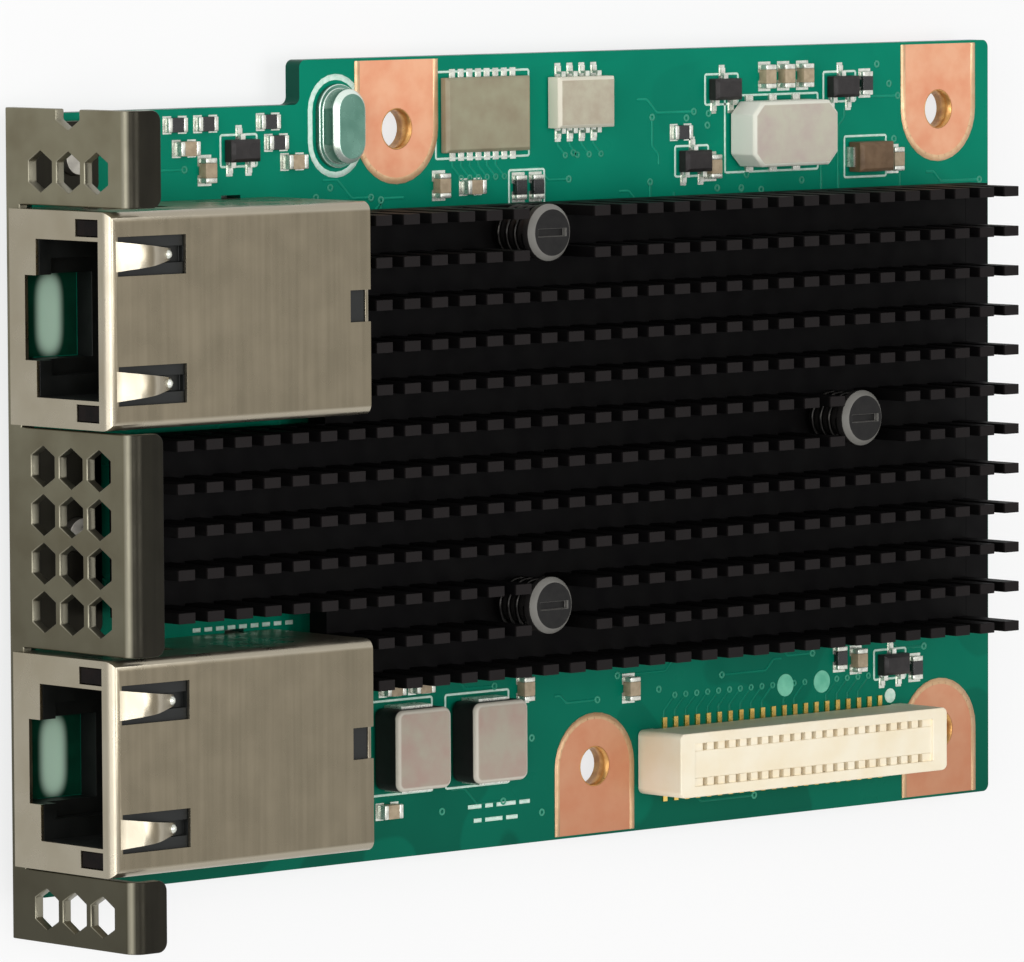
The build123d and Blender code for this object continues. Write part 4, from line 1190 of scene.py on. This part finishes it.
    def copper_rims(self) -> None:
        """Pale rim round each bare copper field of the component face, and a plated barrel in its hole."""
        rims = []
        hubs = []
        steps = 16
        turns = [math.pi * step / steps for step in range(steps + 1)]
        for box in solid_boxes("ground_pads"):
            if box.low.z < self.under:
                continue
            radius = box.size.x / 2
            at_top = box.middle.y > self.box.middle.y
            hub_y = box.low.y + radius if at_top else box.high.y - radius
            edge_y = box.high.y if at_top else box.low.y
            bow = -radius if at_top else radius
            arch = [(box.middle.x + radius * math.cos(turn), hub_y + bow * math.sin(turn)) for turn in turns]
            rims.append([(box.high.x, edge_y), *arch, (box.low.x, edge_y)])
            hubs.append((box.middle.x, hub_y, (self.top + self.under) / 2))
        inset, wall, height = self.barrel_mm
        self.workshop.stamped("fixing_barrels", Stamp.RING, hubs, (self.fixing_mm - inset, wall, height),
                              Palette.barrel, "bare_copper")
        width, thickness = self.rim_mm
        self.workshop.ribbons("copper_rims", rims, self.top + thickness / 2 * MM, width, Palette.copper_rim,
                              "bare_copper", corner_mm=0.01, thickness_mm=thickness)

    def markings(self) -> None:
        """White outlines and marks round the parts."""
        blocks = ("interface_chip_body", "supply_inductor_body", "block_capacitor_body")
        closed = [node_box(node).outline(self.body_gap_mm * MM) for node in blocks]
        closed += [box.outline(self.choke_gap_mm * MM) for box in solid_boxes("power_choke_bodies")]
        closed += [box.outline(self.chip_gap_mm * MM) for box in solid_boxes("small_chip_bodies")]
        closed.append(self.chip_zone(*self.pair_place_mm).outline(self.pair_gap_mm * MM))
        height = self.top + self.ink_lift_mm * MM
        self.workshop.ribbons("plain_marks", self.plain_marks(), height, self.bar_mm, Palette.ink,
                              "tinned_metal")
        self.workshop.ribbons("marking_outlines", closed, height, self.ink_mm, Palette.ink, "tinned_metal",
                              closed=True, corner_mm=self.ink_corner_mm)
        from_rear, from_edge = self.pin_one_mm
        mark = (self.box.high.x - from_rear * MM, self.box.low.y + from_edge * MM, self.top)
        self.workshop.stamped("pin_one_mark", Stamp.BEAD, [mark], self.pin_one_size_mm, Palette.ink,
                              "tinned_metal")
        oval = self.oval(node_box("crystal_can"), self.can_gap_mm * MM)
        self.workshop.ribbons("crystal_outline", [oval], height, self.can_ink_mm, Palette.ink, "tinned_metal",
                              closed=True, corner_mm=self.ink_corner_mm)

    def chip_zone(self, x_mm: float, y_mm: float, reach_mm: float) -> Box:
        """Find the chip parts near a place on the component face.

        Args:
            x_mm: Place along the card from the board's corner.
            y_mm: Place across the card from the board's corner.
            reach_mm: How far from the place a part may be.

        Returns:
            The box round them.
        """
        x = self.box.low.x + x_mm * MM
        y = self.box.low.y + y_mm * MM
        boxes = solid_boxes("chip_resistors") + solid_boxes("chip_end_caps")
        near = [box for box in boxes if box.holds(x, y, reach_mm * MM) and box.middle.z > self.top]
        return box_round([corner for box in near for corner in (box.low, box.high)])

    def plain_marks(self) -> list[Line]:
        """Bare marking bars in three rows.

        Returns:
            One line for each bar.
        """
        corner = Vector((self.box.low.x, self.box.low.y)) / MM
        # Each row starts at a place along and across the board, and then gives its bars' lengths.
        rows = [(15.2, 19.0, [0.75] * 9), (43.0, 3.3, [1.4, 0.8, 2.0, 1.1]), (43.6, 2.2, [0.8, 1.8, 1.2])]
        lines: list[Line] = []
        for x, y, lengths in rows:
            level = (corner.y + y) * MM
            for length in lengths:
                lines.append([((corner.x + x) * MM, level), ((corner.x + x + length) * MM, level)])
                x += length + self.bar_gap_mm
        return lines

    def oval(self, box: Box, margin: float) -> list[Place]:
        """Draw a stretched round outline about a box that is longer across the card than along it.

        Args:
            box: What it goes round.
            margin: Room between the two.

        Returns:
            The outline's points.
        """
        radius = box.size.x / 2 + margin
        reach = box.size.y / 2 - box.size.x / 2
        steps = 12
        points = []
        for end in (1, -1):
            for step in range(steps + 1):
                turn = math.pi * step / steps
                x = box.middle.x + end * radius * math.cos(turn)
                points.append((x, box.middle.y + end * (reach + radius * math.sin(turn))))
        return points

    def chip_pads(self) -> None:
        """Solder lands under the ends of the chip parts."""
        caps = solid_boxes("chip_end_caps")
        short, long, thickness = self.land_mm
        sizes = {"lengthwise": (short, long, thickness), "crosswise": (long, short, thickness)}
        for label, size in sizes.items():
            lands = []
            for box in caps:
                if (box.size.y > box.size.x) == (label == "lengthwise"):
                    height = self.top if box.middle.z > self.top else self.under
                    lands.append((box.middle.x, box.middle.y, height))
            self.workshop.stamped(f"{label}_chip_lands", Stamp.PLATE, lands, size, Palette.solder,
                                  "tinned_metal")


@dataclass
class Jack:
    """One network jack in its shield.

    Attributes:
        workshop: Shared trees.
        side: Name of the jack's place, lower or upper.
        sheet_edge_mm: Width of the broken edges of the shield and the lights.
        moulded_edge_mm: Width of the broken edges of the housing.
        solder_mm: Height of a solder cone.
        pin_cone_mm: Lower and upper radius of the cone round a pin.
        leg_cone_mm: Lower and upper radius of the cone round a shield leg.
        leg_mm: Size within which leg corners belong together.
        finger_mm: Distance of a spring finger from the jack's middle.
        tip_mm: Distance of a finger's tip from the shield's front.
        tip_drop_mm: Depth of a tip's centre below the housing's roof.
        tip_radius_mm: Radius of a finger's pressed tip.
        patch_mm: Distance of the painted shade's middle from the shield's front.
        patch_size_mm: Size of the painted shade.
        glint_mm: Distance of the painted glint on it from the shield's front.
        glint_reach_mm: How far the painted glint spreads along and across the card.
    """

    workshop: Workshop
    side: str
    sheet_edge_mm: float = 0.08
    moulded_edge_mm: float = 0.1
    solder_mm: float = 0.6
    pin_cone_mm: Span = (0.34, 0.75)
    leg_cone_mm: Span = (0.7, 1.3)
    leg_mm: float = 3.0
    finger_mm: float = 4.75
    tip_mm: float = 5.9
    tip_drop_mm: float = 0.1
    tip_radius_mm: float = 0.42
    patch_mm: float = 3.4
    patch_size_mm: Size = (5.9, 6.2, 0.04)
    glint_mm: float = 3.7
    glint_reach_mm: Span = (1.6, 3.5)

    def node(self, part: str) -> str:
        """Name of one part of this jack."""
        return f"{self.side}_jack_{part}"

    def build(self) -> None:
        """Dress the jack's pieces and solder its pins."""
        edged(self.node("shield"), Palette.shield, self.sheet_edge_mm)
        edged(self.node("housing"), Palette.jack_black, self.moulded_edge_mm)
        dress(self.node("contacts"), Palette.gold)
        edged(self.node("lights"), Palette.window, self.sheet_edge_mm)
        dress(self.node("magnetics"), Palette.resin)
        dress(self.node("solder_pins"), Palette.tin)
        self.solder()
        self.finger_tips()
        self.latch_painted_shade_patch()

    def solder(self) -> None:
        """Solder cones round the pins and the shield's legs on the underside."""
        foot = node_box("circuit_board").low.z - self.solder_mm * MM
        pins = [box.middle for box in solid_boxes(self.node("solder_pins"))]
        cones = (("solder", pins, self.pin_cone_mm), ("leg_solder", self.legs(), self.leg_cone_mm))
        for part, places, radii in cones:
            feet = [(place.x, place.y, foot) for place in places]
            self.workshop.stamped(self.node(part), Stamp.BEAD, feet, (*radii, self.solder_mm),
                                  Palette.solder, "tinned_metal")

    def legs(self) -> list[Vector]:
        """Find the ends of the shield's legs under the board.

        Returns:
            The middle of each leg's end.
        """
        under = node_box("circuit_board").low.z
        corners = [vert.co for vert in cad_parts[self.node("shield")].data.vertices if vert.co.z < under]
        groups: list[list[Vector]] = []
        for corner in corners:
            near = [group for group in groups if (group[0] - corner).length < self.leg_mm * MM]
            if near:
                near[0].append(corner)
            else:
                groups.append([corner])
        return [sum(group, Vector()) / len(group) for group in groups]

    def finger_tips(self) -> None:
        """Round pressed tip on each spring finger of the shield's top."""
        shield = node_box(self.node("shield"))
        x = shield.low.x + self.tip_mm * MM
        height = node_box(self.node("housing")).high.z - self.tip_drop_mm * MM
        tips = [(x, shield.middle.y + side * self.finger_mm * MM, height) for side in (-1, 1)]
        self.workshop.stamped(self.node("finger_tips"), Stamp.DOME, tips, (self.tip_radius_mm, 0, 0),
                              Palette.tin, "shield_steel")

    def latch_painted_shade_patch(self) -> None:
        """Painted shade on the lacquer in the plug's latch groove, with a painted glint where light falls in at its
        mouth.
        """
        shield = node_box(self.node("shield"))
        along, across = self.glint_reach_mm
        # The dark green tones are painted shade in the groove, and the pale colour is a painted glint.
        finish = PaintedGlintFinish(f"{self.side}_latch_lacquer", screen(6, 62, 44), screen(4, 48, 34), 0.4,
                             specular=0.1, centre=(shield.low.x + self.glint_mm * MM, shield.middle.y),
                             reach=(along * MM, across * MM), glint=screen(214, 250, 226))
        place = (shield.low.x + self.patch_mm * MM, shield.middle.y, node_box("circuit_board").high.z)
        self.workshop.stamped(self.node("latch_painted_shade_patch"), Stamp.PLATE, [place], self.patch_size_mm, finish,
                              "solder_mask")


@dataclass
class Cooler:
    """Heat sink, push pins, springs and the controller under them.

    Attributes:
        workshop: Shared trees.
        sink_edge_mm: Width of the sink's broken edges.
        pin_edge_mm: Width of the push pins' broken edges.
        lid_edge_mm: Width of the lid's broken edges.
        spring_turns: Turns of each spring.
        wire_mm: Radius of the springs' wire.
        lip_mm: Length and thickness of the black plate behind the last pins.
    """

    workshop: Workshop
    sink_edge_mm: float = 0.1
    pin_edge_mm: float = 0.08
    lid_edge_mm: float = 0.06
    spring_turns: float = 3.5
    wire_mm: float = 0.18
    lip_mm: Span = (2.5, 2.0)

    def build(self) -> None:
        """Dress the sink and what it cools, and wind the springs."""
        edged("heat_sink", self.anodised(), self.sink_edge_mm, segments=1)
        edged("push_pins", Palette.nylon, self.pin_edge_mm)
        dress("thermal_pad", Palette.gum)
        dress("controller_substrate", Palette.substrate)
        edged("controller_lid", Palette.nickel, self.lid_edge_mm)
        self.base_lip()
        self.springs()

    def anodised(self) -> PinFinish:
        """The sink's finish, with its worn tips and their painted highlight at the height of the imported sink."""
        return PinFinish("black_anodised", screen(9, 8, 8), screen(6, 5, 6), 0.55, cloud_mm=4, specular=0.06,
                         tip=screen(30, 27, 27), tip_height=node_box("heat_sink").high.z)

    def base_lip(self) -> None:
        """A black plate in the sink's finish behind the last pins, out over the strip of board that is dark there.
        """
        sink = node_box("heat_sink")
        length, thickness = self.lip_mm
        place = (sink.high.x + length * MM / 2, sink.middle.y, sink.low.z + thickness * MM / 2)
        self.workshop.stamped("sink_base_lip", Stamp.PLATE, [place], (length, sink.size.y / MM, thickness),
                              self.anodised(), "sink_black")

    def springs(self) -> None:
        """Round-wire springs in place of the plain coils."""
        boxes = solid_boxes("push_pin_springs")
        wire = self.wire_mm * MM
        feet = []
        for pin in solid_boxes("push_pins"):
            coil = min(boxes, key=lambda box: (box.middle - pin.middle).length)
            feet.append((pin.middle.x, pin.middle.y, coil.low.z + wire))
        coil = boxes[0]
        radius = max(coil.size.x, coil.size.y) / 2 - wire
        inputs = {"Turns": self.spring_turns, "Radius": radius, "Height": coil.size.z - 2 * wire,
                  "Wire": wire, "Material": Palette.wire.material()}
        piece = grown("push_pin_coils", points_mesh(feet), self.workshop.coil, inputs)
        piece.data.shade_smooth()
        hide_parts("push_pin_springs")


@dataclass
class Connector:
    """The cream board-to-board connector.

    Attributes:
        workshop: Shared trees.
        edge_mm: Width of the body's broken edges.
        wall_mm: Thickness of the body's long walls.
        slot_mm: Width of a slot.
        end_mm: Thickness of the body's end walls.
        rib_mm: Thickness of a rib.
        rib_drop_mm: Depth of a rib below the body's top.
        tuck_mm: How far a slot's end goes into the end wall.
    """

    workshop: Workshop
    edge_mm: float = 0.1
    wall_mm: float = 0.85
    slot_mm: float = 0.6
    end_mm: float = 1.6
    rib_mm: float = 0.7
    rib_drop_mm: float = 0.25
    tuck_mm: float = 0.1

    def __post_init__(self) -> None:
        """Read the body's box and where the contacts stand along it."""
        self.body = node_box("connector_body")
        self.columns = sorted({round(box.middle.x, 6) for box in solid_boxes("connector_contacts")})

    def build(self) -> None:
        """Dress the body and its contacts, and part the contacts."""
        edged("connector_body", Palette.cream, self.edge_mm)
        dress("connector_contacts", Palette.gold)
        pitch = self.columns[1] - self.columns[0]
        ribs = [x + pitch / 2 for x in (self.columns[0] - pitch, *self.columns)]
        self.in_slots("connector_ribs", ribs, self.rib_mm)
        rib_end = ribs[-1] + self.rib_mm * MM / 2
        length = self.body.high.x - self.end_mm * MM - rib_end + self.tuck_mm * MM
        reach = rib_end + length / 2 - self.body.middle.x
        ends = [self.body.middle.x + end * reach for end in (-1, 1)]
        self.in_slots("connector_slot_ends", ends, length / MM)

    def in_slots(self, name: str, columns: Sequence[float], length_mm: float) -> None:
        """Set cream blocks in both slots.

        Args:
            name: Name of the piece.
            columns: Where the blocks stand along the card.
            length_mm: Length of a block along the card.
        """
        body = self.body
        height_mm = body.size.z / MM - 2 * self.rib_drop_mm
        across = body.size.y / 2 - (self.wall_mm + self.slot_mm / 2) * MM
        places = [(x, body.middle.y + side * across, body.middle.z) for x in columns for side in (-1, 1)]
        self.workshop.stamped(name, Stamp.PLATE, places, (length_mm, self.slot_mm, height_mm), Palette.cream,
                              "connector_cream")


@dataclass
class EdgeParts:
    """Chokes, chips and the other parts along the card's long edges.

    Attributes:
        workshop: Shared trees.
        choke_edge_mm: Width of the chokes' broken edges.
        block_edge_mm: Width of the inductor's broken edges.
        can_edge_mm: Width of the crystal's broken edges.
        chip_edge_mm: Width of the larger chips' broken edges, and of the end caps'.
        small_edge_mm: Width of the small chips' broken edges.
        thin_edge_mm: Width of the chip resistors' broken edges.
        land_mm: Size of the solder land under a chip's lead.
    """

    workshop: Workshop
    choke_edge_mm: float = 0.22
    block_edge_mm: float = 0.1
    can_edge_mm: float = 0.08
    chip_edge_mm: float = 0.06
    small_edge_mm: float = 0.05
    thin_edge_mm: float = 0.04
    land_mm: Size = (0.62, 1.3, 0.06)

    def build(self) -> None:
        """Dress each part and set lands under its leads."""
        edged("power_choke_bodies", Palette.ferrite, self.choke_edge_mm, segments=3)
        edged("supply_inductor_body", Palette.pale_block, self.block_edge_mm)
        edged("crystal_can", Palette.can, self.can_edge_mm)
        edged("interface_chip_body", Palette.brown_chip, self.chip_edge_mm)
        edged("memory_chip_body", Palette.grey_chip, self.chip_edge_mm)
        edged("small_chip_bodies", Palette.black_chip, self.small_edge_mm)
        edged("block_capacitor_body", Palette.brown_block, self.chip_edge_mm)
        edged("chip_capacitors", Palette.fired_brown, self.small_edge_mm)
        edged("chip_resistors", Palette.glaze, self.thin_edge_mm)
        edged("chip_end_caps", Palette.tin, self.chip_edge_mm)
        for node in ("power_choke_clips", "supply_inductor_pins", "interface_chip_pads", "memory_chip_leads",
                     "small_chip_leads", "block_capacitor_ends"):
            dress(node, Palette.tin)
        self.lands()

    def lands(self) -> None:
        """Solder lands that the chips' leads stand on."""
        top = node_box("circuit_board").high.z
        places = []
        for node in ("interface_chip_pads", "memory_chip_leads", "small_chip_leads"):
            for lead in solid_boxes(node):
                places.append((lead.middle.x, lead.middle.y, top))
        self.workshop.stamped("lead_lands", Stamp.PLATE, places, self.land_mm, Palette.solder, "tinned_metal")


@dataclass
class Bracket:
    """The folded bracket and its screws.

    Attributes:
        edge_mm: Width of the bracket's broken edges.
        screw_edge_mm: Width of the screws' broken edges.
        sheet_mm: Thickness of the sheet.
    """

    edge_mm: float = 0.1
    screw_edge_mm: float = 0.05
    sheet_mm: float = 0.8

    def build(self) -> None:
        """Dress the bracket and its screws."""
        edged("bracket", self.plating(), self.edge_mm)
        edged("bracket_screws", Palette.zinc, self.screw_edge_mm)

    def plating(self) -> BracketFinish:
        """The bracket's finish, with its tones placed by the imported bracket."""
        box = node_box("bracket")
        # The dark upward tone on the flanges and feet and the darker tone towards the lower end are painted shade;
        # the bend tone is a painted highlight.
        return BracketFinish("bracket_sheet", screen(124, 120, 100), screen(108, 102, 82), 0.36, metallic=0.9,
                             cloud_mm=5, upward=screen(36, 34, 27), upward_shade_streak=screen(28, 26, 21),
                             bend=screen(130, 126, 110), flat_span=(0.42, 0.62), painted_shade=screen(52, 50, 38),
                             flange_height=box.high.z, foot_place=box.low.x + self.sheet_mm * MM)


@dataclass(frozen=True)
class Softbox:
    """A square lamp that is aimed at the card.

    Attributes:
        name: Name of the lamp.
        place: Where it stands, in metres.
        width: Its width in metres.
        watts: Its power.
    """

    name: str
    place: Size
    width: float
    watts: float

    def hang(self) -> None:
        """Put the lamp in the scene."""
        data = bpy.data.lights.new(self.name, "AREA")
        data.size = self.width
        data.energy = self.watts
        lamp = bpy.data.objects.new(self.name, data)
        lamp.location = self.place
        lamp.rotation_euler = (-Vector(self.place)).to_track_quat("-Z", "Y").to_euler()
        bpy.context.scene.collection.objects.link(lamp)


@dataclass
class Studio:
    """Floor, light and the photograph's camera.

    Attributes:
        eye: Camera's place in metres.
        forward: Where it looks.
        up: Which way is up in the picture.
        focal_px: Focal length in picture pixels.
        picture_px: Width of the picture.
        sensor_mm: Width of the camera's sensor.
        sight: Nearest and farthest distance that the camera sees, in metres.
        softboxes: The lamps.
        floor_reach: Distance from the floor's middle to its sides, in metres.
        floor_drop_mm: Depth of the floor below the card.
        floor_tone: Grey level of the floor.
        floor_roughness: Roughness of the floor.
        floor_glow: Share of plain white that the camera sees in the floor.
        ambient: Strength of the light from all round.
    """

    eye: Vector = Vector((-0.4450, 0.05013, 0.49334))
    forward: Vector = Vector((0.6696, -0.0770, -0.7387))
    up: Vector = Vector((0.0555, 0.9970, -0.0536))
    focal_px: float = 8496.0
    picture_px: float = 1024.0
    sensor_mm: float = 36.0
    sight: Span = (0.01, 10.0)
    softboxes: tuple[Softbox, ...] = (
        Softbox("overhead_softbox", (0.02, 0.02, 0.55), 0.26, 1.0),
        Softbox("camera_side_softbox", (-0.44, 0.02, 0.56), 0.3, 1.3),
        Softbox("front_fill", (-0.5, 0.1, 0.18), 0.4, 1.0),
    )
    floor_reach: float = 6.0
    floor_drop_mm: float = 0.05
    floor_tone: float = 0.9
    floor_roughness: float = 0.9
    floor_glow: float = 0.75
    ambient: float = 0.4

    def build(self) -> None:
        """Set up the stage."""
        bpy.context.scene.view_settings.view_transform = "Standard"
        self.camera()
        self.floor()
        self.world()
        for softbox in self.softboxes:
            softbox.hang()

    def camera(self) -> None:
        """Camera solved from the card's corners in the photograph."""
        data = bpy.data.cameras.new("photo_camera")
        data.sensor_width = self.sensor_mm
        data.lens = self.focal_px * self.sensor_mm / self.picture_px
        data.clip_start, data.clip_end = self.sight
        camera = bpy.data.objects.new("photo_camera", data)
        back = -self.forward.normalized()
        right = self.up.cross(back).normalized()
        upward = back.cross(right)
        turned = Matrix((right, upward, back)).transposed().to_4x4()
        camera.matrix_world = Matrix.Translation(self.eye) @ turned
        bpy.context.scene.collection.objects.link(camera)
        bpy.context.scene.camera = camera

    def seen(self, tree: bpy.types.NodeTree) -> Socket:
        """Tell what is looked at from what only gives light.

        Args:
            tree: The node tree that asks.

        Returns:
            Level that is 1 where the camera, a reflection or glass looks, and 0 for light.
        """
        rays = tree.nodes.new("ShaderNodeLightPath")
        level = rays.outputs["Is Camera Ray"]
        for label in ("Is Glossy Ray", "Is Transmission Ray"):
            either = tree.nodes.new("ShaderNodeMath")
            either.operation = "MAXIMUM"
            tree.links.new(level, either.inputs[0])
            tree.links.new(rays.outputs[label], either.inputs[1])
            level = either.outputs[0]
        return level

    def floor(self) -> None:
        """Plain white floor that keeps a faint shadow."""
        reach = self.floor_reach
        depth = -self.floor_drop_mm * MM
        corners = [(-reach, -reach), (reach, -reach), (reach, reach), (-reach, reach)]
        mesh = bpy.data.meshes.new("floor")
        mesh.from_pydata([(x, y, depth) for x, y in corners], [], [(0, 1, 2, 3)])
        floor = bpy.data.objects.new("floor", mesh)
        bpy.context.scene.collection.objects.link(floor)
        mesh.materials.append(self.floor_material())

    def floor_material(self) -> bpy.types.Material:
        """Build the floor's material: matt, with a share of plain white for the camera.

        Returns:
            The material.
        """
        material = bpy.data.materials.new("white_floor")
        material.use_nodes = True
        tree = material.node_tree
        shader = tree.nodes["Principled BSDF"]
        shader.inputs["Base Color"].default_value = (*[self.floor_tone] * 3, 1.0)
        shader.inputs["Roughness"].default_value = self.floor_roughness
        shader.inputs["Specular IOR Level"].default_value = 0.0
        glow = tree.nodes.new("ShaderNodeEmission")
        share = tree.nodes.new("ShaderNodeMath")
        share.operation = "MULTIPLY"
        share.inputs[1].default_value = self.floor_glow
        tree.links.new(self.seen(tree), share.inputs[0])
        blend = tree.nodes.new("ShaderNodeMixShader")
        for socket, node in zip(blend.inputs, (share, shader, glow)):
            tree.links.new(node.outputs[0], socket)
        tree.links.new(blend.outputs[0], tree.nodes["Material Output"].inputs["Surface"])
        return material

    def world(self) -> None:
        """Soft even light from all round, white to the camera."""
        world = bpy.data.worlds.new("studio")
        world.use_nodes = True
        tree = world.node_tree
        background = tree.nodes["Background"]
        level = tree.nodes.new("ShaderNodeMapRange")
        level.inputs["To Min"].default_value = self.ambient
        level.inputs["To Max"].default_value = 1.0
        tree.links.new(self.seen(tree), level.inputs["Value"])
        tree.links.new(level.outputs["Result"], background.inputs["Strength"])
        background.inputs["Color"].default_value = (1.0, 1.0, 1.0, 1.0)
        bpy.context.scene.world = world


def main() -> None:
    """Build every sub-assembly in order."""
    logging.basicConfig(level=logging.INFO, format="%(message)s")
    workshop = Workshop.open()
    parts = [Board(workshop), Jack(workshop, "lower"), Jack(workshop, "upper"), Cooler(workshop),
             Connector(workshop), EdgeParts(workshop), Bracket()]
    for part in parts:
        part.build()
    Studio().build()


if __name__ == "__main__":
    main()
